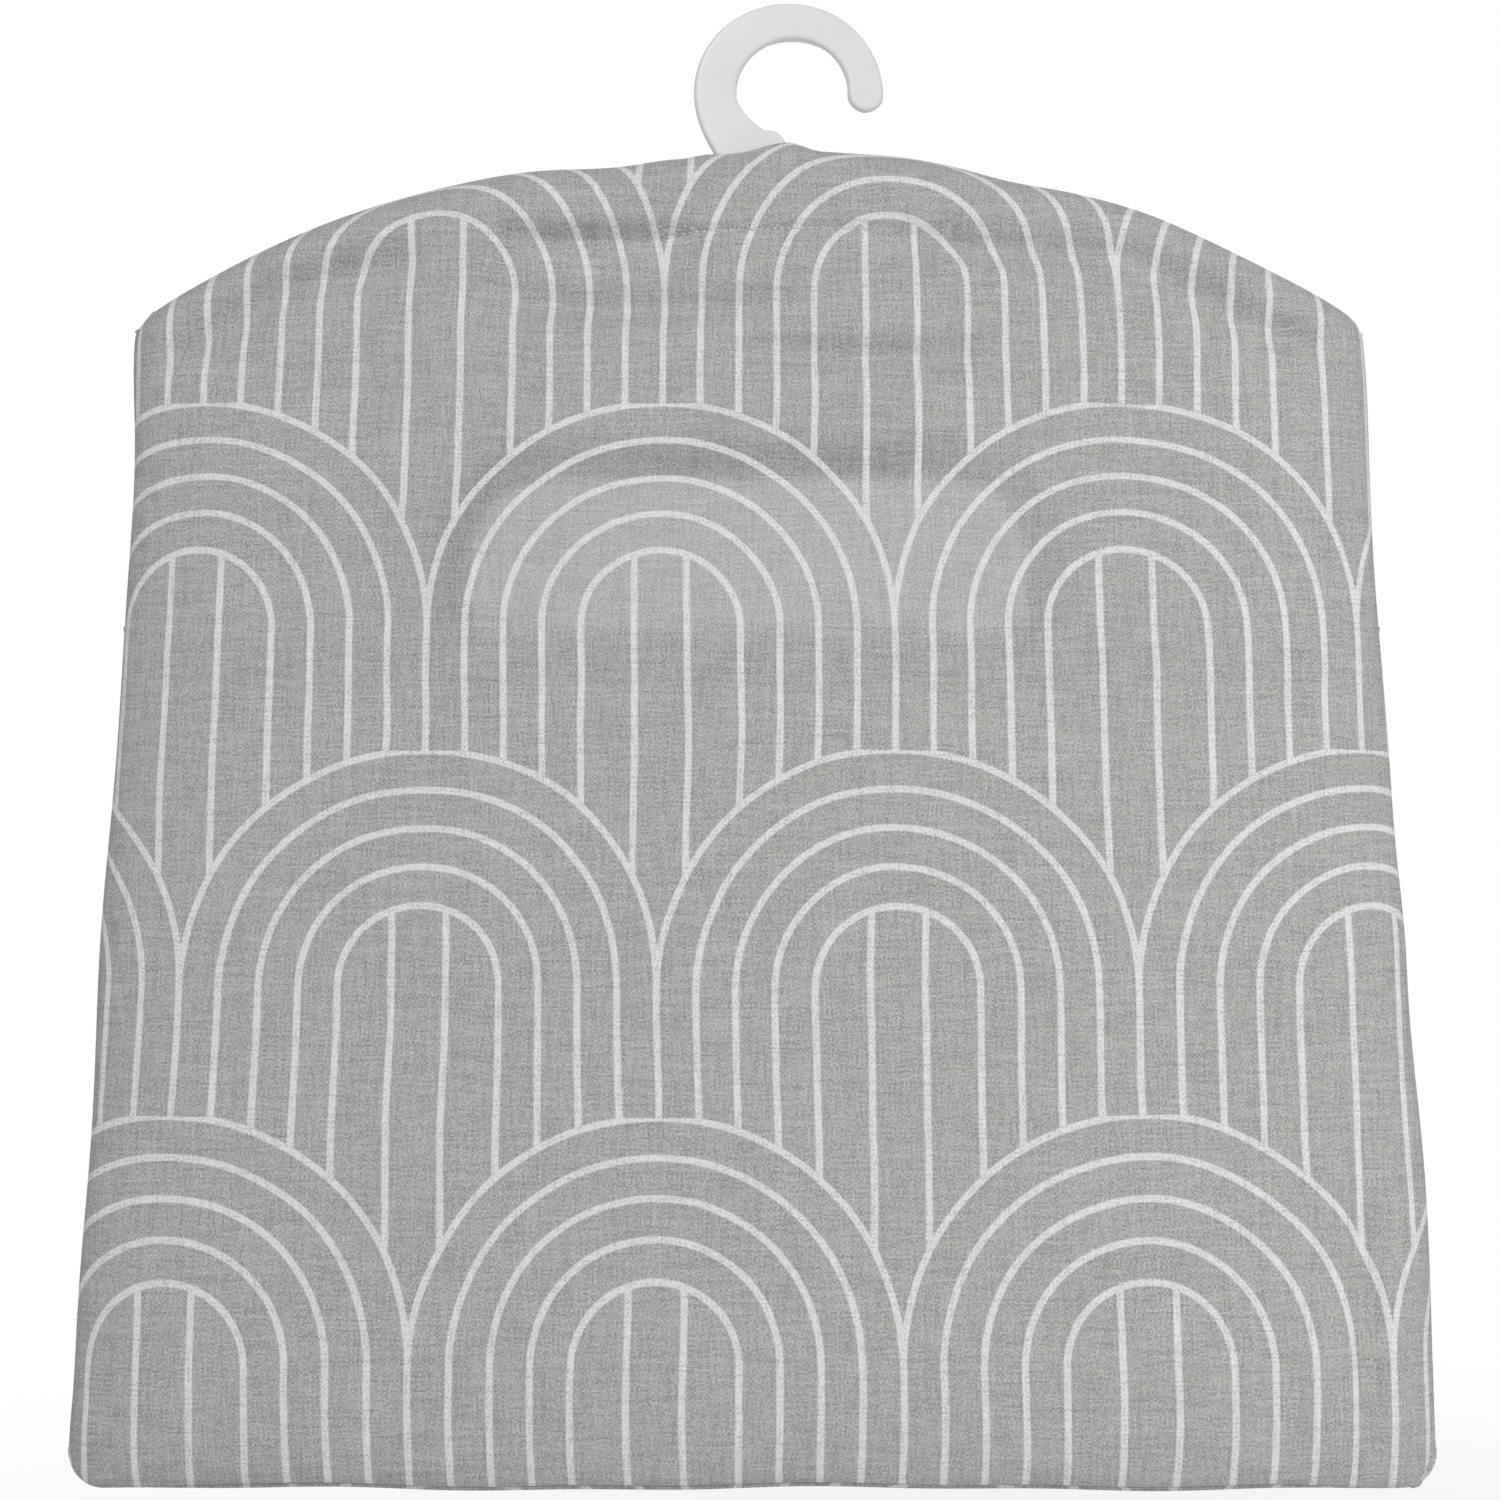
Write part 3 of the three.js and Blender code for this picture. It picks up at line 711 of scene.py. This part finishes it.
def back_rows(x):
    """The back panel's rows, from the tucked bottom allowance up to the one at the top."""
    top = shoulder_edge(x)
    low = bottom_edge(x * BOTTOM_HALF / SHOULDER_HALF) + seam_rise(x)
    shift = seam_shift(x)
    yield {"z": low + SEAM_TUCK, "out": lambda x, z: 0.3 + 0.2 * shift}
    yield {"z": low + SEAM_TUCK / 2, "out": lambda x, z: 0.3 + 0.4 * shift}
    yield {"z": low + 0.45, "out": lambda x, z: SEAM_GAP + 0.62 * shift}
    for stop in row_stops[1:-1]:
        below_top = (1 - stop) * PANEL_HEIGHT
        yield {"z": low + (top - low) * stop, "pull": 0.9 * eased(2.5, 0, below_top)}
    slit = slit_share(x)
    yield {"z": top - 0.25, "out": lambda x, z: 0.6 + (SLIT_LIFT - 0.6) * slit, "pull": 1.2}
    yield {"z": top - 0.9, "out": lambda x, z: SEAM_GAP + SLIT_TURNED * slit, "pull": 2.4}
    yield {"z": top - 1.6, "out": lambda x, z: 0.25 + SLIT_TURNED * slit, "pull": 2.9}


def from_ends(count):
    """How many steps each of a run of faces lies from the nearer end of the run."""
    number = np.arange(count)
    return np.minimum(number, number[::-1])


# The seam allowance is clipped away at the corners, so that it lies flat inside the turned-out bag.
CLIPPED_ROWS = 11
CLIPPED_COLUMNS = 9
TUCKED = 2
PRINT_ON_BACK = np.array([21.0, 12.0])
back_grid, back_cut = panel_grid(0, back_rows)
from_sides = from_ends(back_grid.shape[1] - 1)
row_tucked = from_ends(len(back_grid) - 1) < TUCKED
column_tucked = from_sides < TUCKED
by_sides = from_sides < CLIPPED_COLUMNS
back_corners = row_tucked[:, None] & column_tucked[None, :]
back_corners[:CLIPPED_ROWS] |= column_tucked
back_corners[: TUCKED + 1] |= by_sides
# Painted light and shade on the near face, for the mouth, binding, hem and arms behind it.
back_painted_light_and_shade = painted_show_through(back_grid[..., 0], back_grid[..., 2])
back_printed = back_cut + PRINT_ON_BACK
back_cloth = cloth_piece("back_cloth", back_grid, back_printed, -1, back_corners, back_painted_light_and_shade)
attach(back_cloth, "hung_bag")
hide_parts("back_panel")

# Tack row: a short line of white lockstitch through both faces, close under the hanger's arms,
# which keeps the hanger up against the shoulder seam. Each stitch sinks into the cloth, with painted
# shade on its ends, and on the near face a second short line locks the left end.
THREAD_WHITE = (0.640, 0.642, 0.610, 1.0)
THREAD_GREY = (0.512, 0.514, 0.488, 1.0)
# The painted shade on the ends of each stitch.
THREAD_PAINTED_SHADE = (0.110, 0.110, 0.104, 1.0)
BACK_TACK = 9.0
BACK_TACK_RISE = 0.75
STITCH = {"Pitch": 2.5 * MM, "Stitch length": 2.3 * MM, "Thread width": 0.55 * MM}


def sewing_thread():
    """White twisted thread with painted shade on the ends of each stitch, where it sinks into the
    cloth.
    """
    material, inputs, wire = new_finish("sewing_thread")
    spot = wire.node("ShaderNodeTexCoord", {}, {}, out="Object")
    ply = wire.node("ShaderNodeTexNoise", {}, {"Vector": spot, "Scale": 1900.0, "Detail": 2.0})
    along = wire.node("ShaderNodeAttribute", {"attribute_name": "along_stitch"}, {}, out="Fac")
    tone = mixed(wire, ply, THREAD_GREY, THREAD_WHITE)
    # Painted shade on the stitch ends, where each stitch sinks into the cloth.
    feed(inputs, "Base Color", mixed(wire, ramped(wire, abs(along), 0.27, 0.46), tone, THREAD_PAINTED_SHADE))
    feed(inputs, "Roughness", 0.55 + ply * 0.2)
    bump = wire.node("ShaderNodeBump", {}, {"Strength": 0.4, "Distance": 0.0001, "Height": ply})
    feed(inputs, "Normal", bump)
    return material


thread_finish = sewing_thread()


def stitch_tree():
    """Nodes that lay small plump stitches end to end along lines."""
    tree = bpy.data.node_groups.new("row_of_stitches", "GeometryNodeTree")
    tree.interface.new_socket("Geometry", in_out="INPUT", socket_type="NodeSocketGeometry")
    for name in STITCH:
        tree.interface.new_socket(name, in_out="INPUT", socket_type="NodeSocketFloat")
    tree.interface.new_socket("Geometry", in_out="OUTPUT", socket_type="NodeSocketGeometry")
    sizes = Wire(tree).node("NodeGroupInput", {}, {}).socket.node.outputs
    pitch, length, width = (Wire(tree, sizes[name]) for name in STITCH)
    lines = Wire(tree).node("GeometryNodeMeshToCurve", {}, {"Mesh": Wire(tree, sizes["Geometry"])})
    spaced = {"Curve": lines, "Length": pitch}
    spots = lines.node("GeometryNodeResampleCurve", {"mode": "LENGTH"}, spaced)
    along = lines.node("GeometryNodeInputTangent", {}, {})
    turn = lines.node("FunctionNodeAlignRotationToVector", {"axis": "X"}, {"Vector": along})
    bead = lines.node("GeometryNodeMeshUVSphere", {}, {"Segments": 8, "Rings": 6, "Radius": 0.5})
    place = lines.node("GeometryNodeInputPosition", {}, {})
    along_bead = lines.node("ShaderNodeSeparateXYZ", {}, {0: place})
    marked = {"Geometry": bead, "Name": "along_stitch", "Value": along_bead}
    bead = lines.node("GeometryNodeStoreNamedAttribute", {}, marked)
    size = lines.node("ShaderNodeCombineXYZ", {}, {0: length, 1: width, 2: width})
    draw = {0: (0.93, 0.9, 0.9), 1: (1.05, 1.06, 1.06), "Seed": 4}
    uneven = lines.node("FunctionNodeRandomValue", {"data_type": "FLOAT_VECTOR"}, draw)
    size = lines.node("ShaderNodeVectorMath", {"operation": "MULTIPLY"}, {0: size, 1: uneven})
    laid = {"Points": spots, "Instance": bead, "Rotation": turn, "Scale": size}
    row = lines.node("GeometryNodeInstanceOnPoints", {}, laid)
    row = lines.node("GeometryNodeRealizeInstances", {}, {"Geometry": row})
    row = lines.node("GeometryNodeSetShadeSmooth", {}, {"Geometry": row})
    row = lines.node("GeometryNodeSetMaterial", {}, {"Geometry": row, "Material": thread_finish})
    row.node("NodeGroupOutput", {}, {"Geometry": row})
    return tree


stitches_along_lines = stitch_tree()


def stitched(name, lines, sizes=STITCH):
    """Rows of stitches along lines of points, as one plain mesh."""
    points, edges = [], []
    for line in lines:
        edges += [(len(points) + i, len(points) + i + 1) for i in range(len(line) - 1)]
        points += placed(line).tolist()
    mesh = bpy.data.meshes.new(name)
    mesh.from_pydata(points, edges, [])
    piece = new_piece(name, mesh)
    sewing = piece.modifiers.new("stitches", "NODES")
    sewing.node_group = stitches_along_lines
    for item in stitches_along_lines.interface.items_tree:
        if item.in_out == "INPUT" and item.name in sizes:
            sewing[item.identifier] = sizes[item.name]
    return settle(piece)


tack_x = np.linspace(*TACK_ENDS, 60)
tack_z = TACK_Z + 0.25 * np.sin(tack_x / 9)
back_x = np.linspace(TACK_ENDS[0] - 0.6, TACK_ENDS[0] + BACK_TACK, 40)
back_z = TACK_Z + BACK_TACK_RISE + 0.3 * np.sin(back_x * 1.9)
tack_lines = [
    np.stack([tack_x, -swell(tack_x, tack_z, 0) - 0.04, tack_z], 1),
    np.stack([back_x, -swell(back_x, back_z, 0) - 0.10, back_z], 1),
    np.stack([tack_x, swell(tack_x, tack_z, 1) - 0.05, tack_z], 1),
]
tack_sizes = {"Pitch": 1.7 * MM, "Stitch length": 1.5 * MM, "Thread width": 0.45 * MM}
tack_row = stitched("tack_stitches", tack_lines, tack_sizes)
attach(tack_row, "hung_bag")
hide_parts("hanger_tack_stitching")

# Front upper panel: the same printed cotton, from the shoulders down to the level of the mouth.
# The mouth is cut out of its lower edge as a wide arch. It is sewn in with the back panel.
ARCH_RAW = 1.1
UPPER_LOW_Z = MOUTH_LOW_Z + 0.3
LEG_STEPS = 12
CORNER_STEPS = 22
TOP_STEPS = 78
LEG_RUN = 36
CORNER_RUN = 122
UPPER_RUN = 80
UPPER_STEPS = 30
TOP_TUCK = 1.6
PRINT_ON_UPPER = np.array([-38.0, 41.0])


def arch_path():
    """Points along the edge of the mouth, from left to right, and the directions away from it."""
    high = MOUTH_TOP_Z - MOUTH_CORNER
    middle = MOUTH_HALF - MOUTH_CORNER
    leg = np.linspace(UPPER_LOW_Z, high, LEG_STEPS, endpoint=False)
    turn = np.linspace(math.pi, UP, CORNER_STEPS, endpoint=False)
    flat = np.linspace(-middle, middle, TOP_STEPS, endpoint=False)
    points = [np.stack([np.full(LEG_STEPS, -MOUTH_HALF), leg], 1)]
    away = [np.tile([-1.0, 0.0], (LEG_STEPS, 1))]
    round_corner = np.stack([np.cos(turn), np.sin(turn)], 1)
    points.append(np.array([-middle, high]) + MOUTH_CORNER * round_corner)
    away.append(round_corner)
    points.append(np.stack([flat, np.full(TOP_STEPS, MOUTH_TOP_Z)], 1))
    away.append(np.tile([0.0, 1.0], (TOP_STEPS, 1)))
    left_points, left_away = np.concatenate(points[:2]), np.concatenate(away[:2])
    mirror = np.array([-1, 1])
    points += [np.array([[middle, MOUTH_TOP_Z]]), (left_points * mirror)[::-1]]
    away += [np.array([[0.0, 1.0]]), (left_away * mirror)[::-1]]
    return np.concatenate(points), np.concatenate(away)


def upper_outline(count):
    """Points along the outer edge of the front upper panel, from the left side to the right."""
    z = np.linspace(UPPER_LOW_Z, float(shoulder_edge(-SHOULDER_HALF)), 60)
    share = np.linspace(-1, 1, 400)[1:-1]
    top_z = shoulder_edge(share * SHOULDER_HALF)
    left = np.stack([-side_edge(-1.0, z), z], 1)
    over = np.stack([share * side_edge(share, top_z), top_z], 1)
    right = np.stack([side_edge(1.0, z), z], 1)[::-1]
    line = np.concatenate([left, over, right])
    run = np.append(0, np.cumsum(np.linalg.norm(np.diff(line, axis=0), axis=1)))
    stops = [0, LEG_STEPS, LEG_STEPS + CORNER_STEPS]
    stops = stops + [count - 1 - stop for stop in stops[::-1]]
    ends = [0, LEG_RUN, CORNER_RUN, run[-1] - CORNER_RUN, run[-1] - LEG_RUN, run[-1]]
    spots = np.interp(np.arange(count), stops, ends)
    return np.stack([np.interp(spots, run, line[:, k]) for k in (0, 1)], 1)


def upper_grid():
    """Rows of points from the arch out to the seams, with the allowances tucked in."""
    arch, away = arch_path()
    inner = arch + away * ARCH_RAW
    outer = upper_outline(len(arch))
    inward = inner - outer
    run = np.linalg.norm(inward, axis=1)[:, None]
    inward = inward / run
    even = np.linspace(0, UPPER_RUN - EDGE_STOPS[-1], UPPER_STEPS, endpoint=False)
    across = np.concatenate([even, UPPER_RUN - np.array(EDGE_STOPS[::-1])])
    on_top = np.abs(outer[:, 0]) < SHOULDER_HALF - 8
    deepest = np.where(on_top, TOP_TUCK, SEAM_TUCK)[:, None]
    slit = slit_share(outer[:, 0])
    grid, cut = [], []
    for stop in across:
        spot = inner + (outer - inner) * stop / UPPER_RUN
        out = swell(spot[:, 0], spot[:, 1], 1)
        pull = 0.28 if stop == across[-1] else 0.0
        cut.append(flat_cut(spot[:, 0], spot[:, 1], False))
        spot = spot + inward * pull
        grid.append(np.stack([spot[:, 0], out, spot[:, 1]], 1))
    for share in (0.5, 1.0):
        spot = outer + inward * deepest * share
        out = SEAM_GAP + 0.1 * share + SLIT_TURNED * slit
        grid.append(np.stack([spot[:, 0], out, spot[:, 1]], 1))
        cut.append(cut[-1] - inward * deepest * 0.5)
    grid, cut = np.array(grid), np.array(cut)
    hidden = grid[:, [0, -1]] + np.array([0, 0, 3.0])
    hidden[..., 1] -= np.minimum(1.0, 0.35 * hidden[..., 1])
    below = cut[:, [0, -1]] - np.array([0, 3.0])
    grid = np.concatenate([hidden[:, :1], grid, hidden[:, 1:]], 1)
    return grid, np.concatenate([below[:, :1], cut, below[:, 1:]], 1)


upper_points, upper_cut = upper_grid()
upper_skip = np.zeros(np.array(upper_points.shape[:2]) - 1, bool)
upper_skip[-TUCKED:, [0, -1]] = True
upper_printed = upper_cut + PRINT_ON_UPPER
upper_cloth = cloth_piece("front_upper_cloth", upper_points, upper_printed, 1, upper_skip)
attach(upper_cloth, "hung_bag")
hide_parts("front_upper_panel")

# Mouth binding: a bias strip of plain grey cotton folded over the raw edge of the arch, inside
# and outside, and held by one row of top stitching along its outer edge.
BINDING_GREY = (0.335, 0.338, 0.322, 1.0)
BINDING_DARK = (0.250, 0.253, 0.240, 1.0)
BINDING_PALE = (0.420, 0.424, 0.405, 1.0)
STRIP = 0.6
STRIP_GAP = 0.12
BINDING_STITCH_IN = 1.5
binding_cotton = linen_cotton("binding_cotton", 0.0, BINDING_GREY, BINDING_DARK, BINDING_PALE)


def binding_profile():
    """The folded strip across its length: distance from the mouth's edge, and depth from the face."""
    out_high = STRIP_GAP + STRIP
    in_low = -CLOTH - STRIP_GAP - STRIP
    turn = np.linspace(UP, 3 * UP, 9)
    middle = (out_high + in_low) / 2
    reach = (out_high - in_low) / 2
    inner_reach = reach - STRIP
    fold = [(reach + reach * math.cos(a), middle + reach * math.sin(a)) for a in turn]
    hollow = [(reach + inner_reach * math.cos(a), middle + inner_reach * math.sin(a)) for a in turn]
    outer_leaf = [
        (BINDING, 0.1),
        (BINDING + 0.15, 0.35),
        (BINDING - 0.15, out_high),
        (BINDING - 1.1, out_high),
        (BINDING - BINDING_STITCH_IN, out_high - 0.18),
        (BINDING - 2.2, out_high),
        (BINDING - 4.5, out_high),
    ]
    inner_leaf = [
        (BINDING - 4.5, in_low),
        (BINDING - 0.15, in_low),
        (BINDING + 0.1, in_low + 0.3),
        (BINDING, in_low + STRIP),
    ]
    return np.array(outer_leaf + fold + inner_leaf + hollow[::-1])


def folded_strip(name):
    """The strip's profile, carried along the edge of the mouth."""
    arch, away = arch_path()
    profile = binding_profile()
    run = np.append(0, np.cumsum(np.linalg.norm(np.diff(arch, axis=0), axis=1)))
    edge = np.append(0, np.cumsum(np.linalg.norm(np.diff(profile, axis=0), axis=1)))
    spots = arch[:, None, :] + away[:, None, :] * profile[None, :, :1]
    base = arch[:, None, :] + away[:, None, :] * np.maximum(profile[None, :, :1], ARCH_RAW)
    out = swell(base[..., 0], base[..., 1], 1) + profile[None, :, 1]
    drawn_in = 0.07 * np.sin(run[:, None] / 1.3 + 1.5 * np.sin(run[:, None] / 9))
    out = out + drawn_in * hump(profile[None, :, 0], 8, 2.5)
    points = np.stack([spots[..., 0], out, spots[..., 1]], -1)
    stations, around = points.shape[:2]
    shape = bmesh.new()
    layer = shape.loops.layers.uv.new("cut")
    verts = [[shape.verts.new(p) for p in placed(ring)] for ring in points]
    for i in range(stations - 1):
        for k in range(around):
            after = (k + 1) % around
            face = shape.faces.new((verts[i][k], verts[i][after], verts[i + 1][after], verts[i + 1][k]))
            corners = ((i, k), (i, k + 1), (i + 1, k + 1), (i + 1, k))
            for loop, (s, t) in zip(face.loops, corners):
                u = (run[s] + edge[t % around]) * MM * math.sqrt(0.5)
                v = (run[s] - edge[t % around]) * MM * math.sqrt(0.5)
                loop[layer].uv = (u, v)
    for ring in (verts[0], verts[-1]):
        shape.faces.new(ring)
    bmesh.ops.recalc_face_normals(shape, faces=shape.faces)
    mesh = bpy.data.meshes.new(name)
    shape.to_mesh(mesh)
    shape.free()
    mesh.shade_smooth()
    mesh.set_sharp_from_angle(angle=math.radians(60))
    mesh.materials.append(binding_cotton)
    return new_piece(name, mesh)


binding = folded_strip("mouth_binding_strip")
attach(binding, "hung_bag")
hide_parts("mouth_binding")

mouth_edge, mouth_away = arch_path()
sewn = mouth_edge + mouth_away * (BINDING - BINDING_STITCH_IN)
sewn_out = swell(sewn[:, 0], sewn[:, 1], 1) + STRIP_GAP + STRIP - 0.1
sewn_line = np.stack([sewn[:, 0], sewn_out, sewn[:, 1]], 1)
binding_row = stitched("binding_stitches", [sewn_line])
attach(binding_row, "hung_bag")
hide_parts("binding_stitching")

# Front lower panel: the printed cotton pouch that holds the pegs. Its top edge is turned in as a
# hem, and it is sewn to the other cuts at the sides, the bottom and beside the mouth. The middle
# of the hem pulls out when a hand goes in; the panel is built as two halves that meet there.
HEM_TURN = 0.85
GAPE_REACH = 72.0
HEM_END = 142.0
PRINT_ON_LOWER = np.array([9.0, -17.0])
hem_top_z = MOUTH_LOW_Z - HEM_TURN


def lower_rows(x):
    """The lower panel's rows, from the tucked allowance up to the hem and down inside it."""
    low = bottom_edge(x * BOTTOM_HALF / SHOULDER_HALF)
    shift = seam_shift(x)
    seam = low + seam_rise(x)
    yield {"z": seam + SEAM_TUCK, "out": lambda x, z: -0.2 - 0.2 * shift}
    yield {"z": seam + SEAM_TUCK / 2, "out": lambda x, z: -0.2 - 0.4 * shift}
    yield {"z": seam + 0.3, "out": lambda x, z: -0.66 * shift}
    for share in (0.93, 0.7, 0.4, 0.12):
        rise = BOTTOM_ROLL * (1 - np.sqrt(1 - (share * shift / FACE) ** 2))
        rolled = {"z": low + rise, "more": -share * shift}
        rolled["out"] = lambda x, z, share=share: -share * shift
        yield rolled
    for stop in EDGE_STOPS[1:-1]:
        yield {"z": low + stop}
    for share in np.linspace(0, 1, 78):
        yield {"z": low + EDGE_STOPS[-1] + (hem_top_z - low - EDGE_STOPS[-1]) * share}
    for turn in np.linspace(0, math.pi, 7)[1:]:
        lean = HEM_TURN * (1 - math.cos(turn))
        over = {"z": 0 * low + hem_top_z + HEM_TURN * math.sin(turn), "more": HEM_TURN * turn}
        over["out"] = lambda x, z, lean=lean: swell(x, 0 * z + hem_top_z, 1) - lean
        yield over
    for drop in np.linspace(1.5, HEM - HEM_TURN, 6):
        inside = {"z": 0 * low + hem_top_z - drop, "more": 2 * drop + HEM_TURN * math.pi}
        inside["out"] = lambda x, z: swell(x, z, 1) - 2 * HEM_TURN
        yield inside


lower_points, lower_cut = panel_grid(1, lower_rows)
lower_skip = np.zeros(np.array(lower_points.shape[:2]) - 1, bool)
lower_skip[: CLIPPED_ROWS + 4] = column_tucked
lower_skip[: TUCKED + 1] |= by_sides
from_side = side_edge(lower_points[-1, :, 0], hem_top_z) - np.abs(lower_points[-1, :, 0])
for turned_rows, clear_of_side in ((slice(-12, -9), 1.2), (slice(-9, None), 8)):
    near_side = from_side < clear_of_side
    lower_skip[turned_rows] |= (near_side[:-1] | near_side[1:])[None, :]
lower_printed = lower_cut + PRINT_ON_LOWER
middle_column = int(np.argmin(np.abs(lower_points[-1, :, 0])))
middle_point = tuple(placed([[0, 0, MOUTH_LOW_Z]])[0])
halves = (("left", -1, slice(0, middle_column + 1)), ("right", 1, slice(middle_column, None)))
for side_name, sign, columns in halves:
    corner_point = tuple(placed([[sign * GAPE_REACH, 0, MOUTH_LOW_Z]])[0])
    skip = lower_skip[:, :middle_column] if sign < 0 else lower_skip[:, middle_column:]
    points, printed = lower_points[:, columns], lower_printed[:, columns]
    half = cloth_piece(f"front_lower_cloth_{side_name}", points, printed, 1, skip)
    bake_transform(half)
    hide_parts("front_lower_panel")
    hem_x = np.linspace(sign * HEM_END, 0, 140)
    hem_z = np.full_like(hem_x, hem_top_z - HEM + HEM_TURN + 1.6)
    hem_line = np.stack([hem_x, swell(hem_x, hem_z, 1) - 0.03, hem_z], 1)
    hem_row = stitched(f"hem_stitches_{side_name}", [hem_line])
    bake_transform(hem_row)
    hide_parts("hem_stitching")

# Seams: rows of lockstitch inside the bag that join the cuts along the shoulders, the sides, the
# bottom and the short edges beside the mouth. They lie on both sides of the turned-in allowances.
SEAM_IN = 1.8
seam_z = np.linspace(BOTTOM_Z + 12, TIP_Z - 8, 120)
seam_share = np.linspace(12.0, 140.0, 70)
seam_x = np.linspace(-142.0, 142.0, 140)
seam_lines = []
for sign in (-1, 1):
    side_x = sign * (side_edge(sign, seam_z) - SEAM_IN)
    top_x = sign * seam_share
    top_z = shoulder_edge(top_x) - 1.0
    beside_x = np.linspace(sign * (MOUTH_HALF + BINDING + 1), sign * 140, 40)
    beside_z = np.full_like(beside_x, UPPER_LOW_Z + 1.2)
    beside_out = swell(beside_x, beside_z, 1) - 1.0 - CLOTH - 0.1
    for depth in (-1.0, 1.0):
        seam_lines.append(np.stack([side_x, np.full_like(seam_z, depth), seam_z], 1))
        seam_lines.append(np.stack([top_x, np.full_like(top_z, depth), top_z], 1))
    seam_lines.append(np.stack([beside_x, beside_out, beside_z], 1))
low_z = bottom_edge(seam_x) + seam_rise(seam_x) + SEAM_TUCK / 2
low_out = -0.3 - 0.4 * seam_shift(seam_x) - CLOTH - 0.05
seam_lines.append(np.stack([seam_x, low_out, low_z], 1))
seams = stitched("seam_stitches", seam_lines)
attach(seams, "hung_bag")
for seam_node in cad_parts:
    if seam_node.endswith("_seam_thread"):
        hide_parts(seam_node)

# Studio: a pale floor under the hanging bag, broad soft lamps and the photograph's low view.
FLOOR_Z = -0.43
FLOOR_CORNERS = ((-4, -4), (4, -4), (4, 4), (-4, 4))
FLOOR_GREY = (0.55, 0.55, 0.55, 1.0)
WHITE = (1.0, 1.0, 1.0, 1.0)
AMBIENT = 0.28
floor_mesh = bpy.data.meshes.new("floor")
floor_mesh.from_pydata([(x, y, FLOOR_Z) for x, y in FLOOR_CORNERS], [], [(0, 1, 2, 3)])
floor = new_piece("floor", floor_mesh)


def seen_plainly(wire):
    """1 for rays from the camera, a gloss or a glass, which see the backdrop white."""
    path = wire.node("ShaderNodeLightPath", {}, {}).socket.node
    kinds = ("Is Camera Ray", "Is Glossy Ray", "Is Transmission Ray")
    camera_ray, glossy_ray, glass_ray = (Wire(wire.tree, path.outputs[kind]) for kind in kinds)
    return wire.sum("MINIMUM", camera_ray + glossy_ray + glass_ray, 1.0)


floor_finish, floor_inputs, wire = new_finish("pale_floor")
floor_inputs["Base Color"].default_value = FLOOR_GREY
floor_inputs["Roughness"].default_value = 0.9
lit = Wire(wire.tree, wire.tree.nodes["Principled BSDF"].outputs[0])
glow = wire.node("ShaderNodeEmission", {}, {"Color": WHITE, "Strength": 1.0})
spot = wire.node("ShaderNodeTexCoord", {}, {}, out="Object")
reach = wire.node("ShaderNodeVectorMath", {"operation": "LENGTH"}, {0: spot}, out="Value")
pale = ramped(wire, reach, 0.45, 0.85, 0.8, 1.0)
both = wire.node("ShaderNodeMixShader", {}, {0: seen_plainly(wire) * pale, 1: lit, 2: glow})
wire.tree.links.new(both.socket, wire.tree.nodes["Material Output"].inputs["Surface"])
floor_mesh.materials.append(floor_finish)

world = bpy.data.worlds.new("studio")
world.use_nodes = True
bpy.context.scene.world = world
air = Wire(world.node_tree)
fill = air.node("ShaderNodeBackground", {}, {"Color": WHITE, "Strength": AMBIENT})
white = air.node("ShaderNodeBackground", {}, {"Color": WHITE, "Strength": 1.0})
sky = air.node("ShaderNodeMixShader", {}, {0: seen_plainly(air), 1: fill, 2: white})
world.node_tree.links.new(sky.socket, world.node_tree.nodes["World Output"].inputs["Surface"])

AIM = np.array([-0.0105, 0.0, -0.179])


def soft_lamp(name, place, size, power):
    """A round area lamp that faces the middle of the bag."""
    lamp = bpy.data.lights.new(name, "AREA")
    lamp.shape = "DISK"
    lamp.size = size
    lamp.energy = power
    stand = bpy.data.objects.new(name, lamp)
    bpy.context.scene.collection.objects.link(stand)
    stand.location = place
    stand.rotation_mode = "QUATERNION"
    stand.rotation_quaternion = Vector(np.array(place) - AIM).to_track_quat("Z", "Y")


KEY_SIZE = 0.4
KEY_POWER = 5.0
FILL_SIZE = 0.65
soft_lamp("right_key", (0.58, -0.9, -0.25), KEY_SIZE, KEY_POWER)
soft_lamp("left_fill", (-0.9, -2.0, 1.7), FILL_SIZE, 32.0)
soft_lamp("back_key", (-0.58, 0.9, -0.25), KEY_SIZE, KEY_POWER)
soft_lamp("back_fill", (0.9, 2.0, 1.7), FILL_SIZE, 33.0)

LENS = 42.7
VIEW_RANGE = 0.423
VIEW_TILT = math.radians(-8)
camera_data = bpy.data.cameras.new("camera")
camera_data.lens = LENS
camera_data.sensor_width = 36.0
camera = bpy.data.objects.new("camera", camera_data)
bpy.context.scene.collection.objects.link(camera)
camera.location = AIM + VIEW_RANGE * np.array([0, -math.cos(VIEW_TILT), math.sin(VIEW_TILT)])
camera.rotation_euler = (math.pi / 2 - VIEW_TILT, 0, 0)
camera_data.clip_start = 0.01
bpy.context.scene.camera = camera
bpy.context.scene.view_settings.view_transform = "Standard"
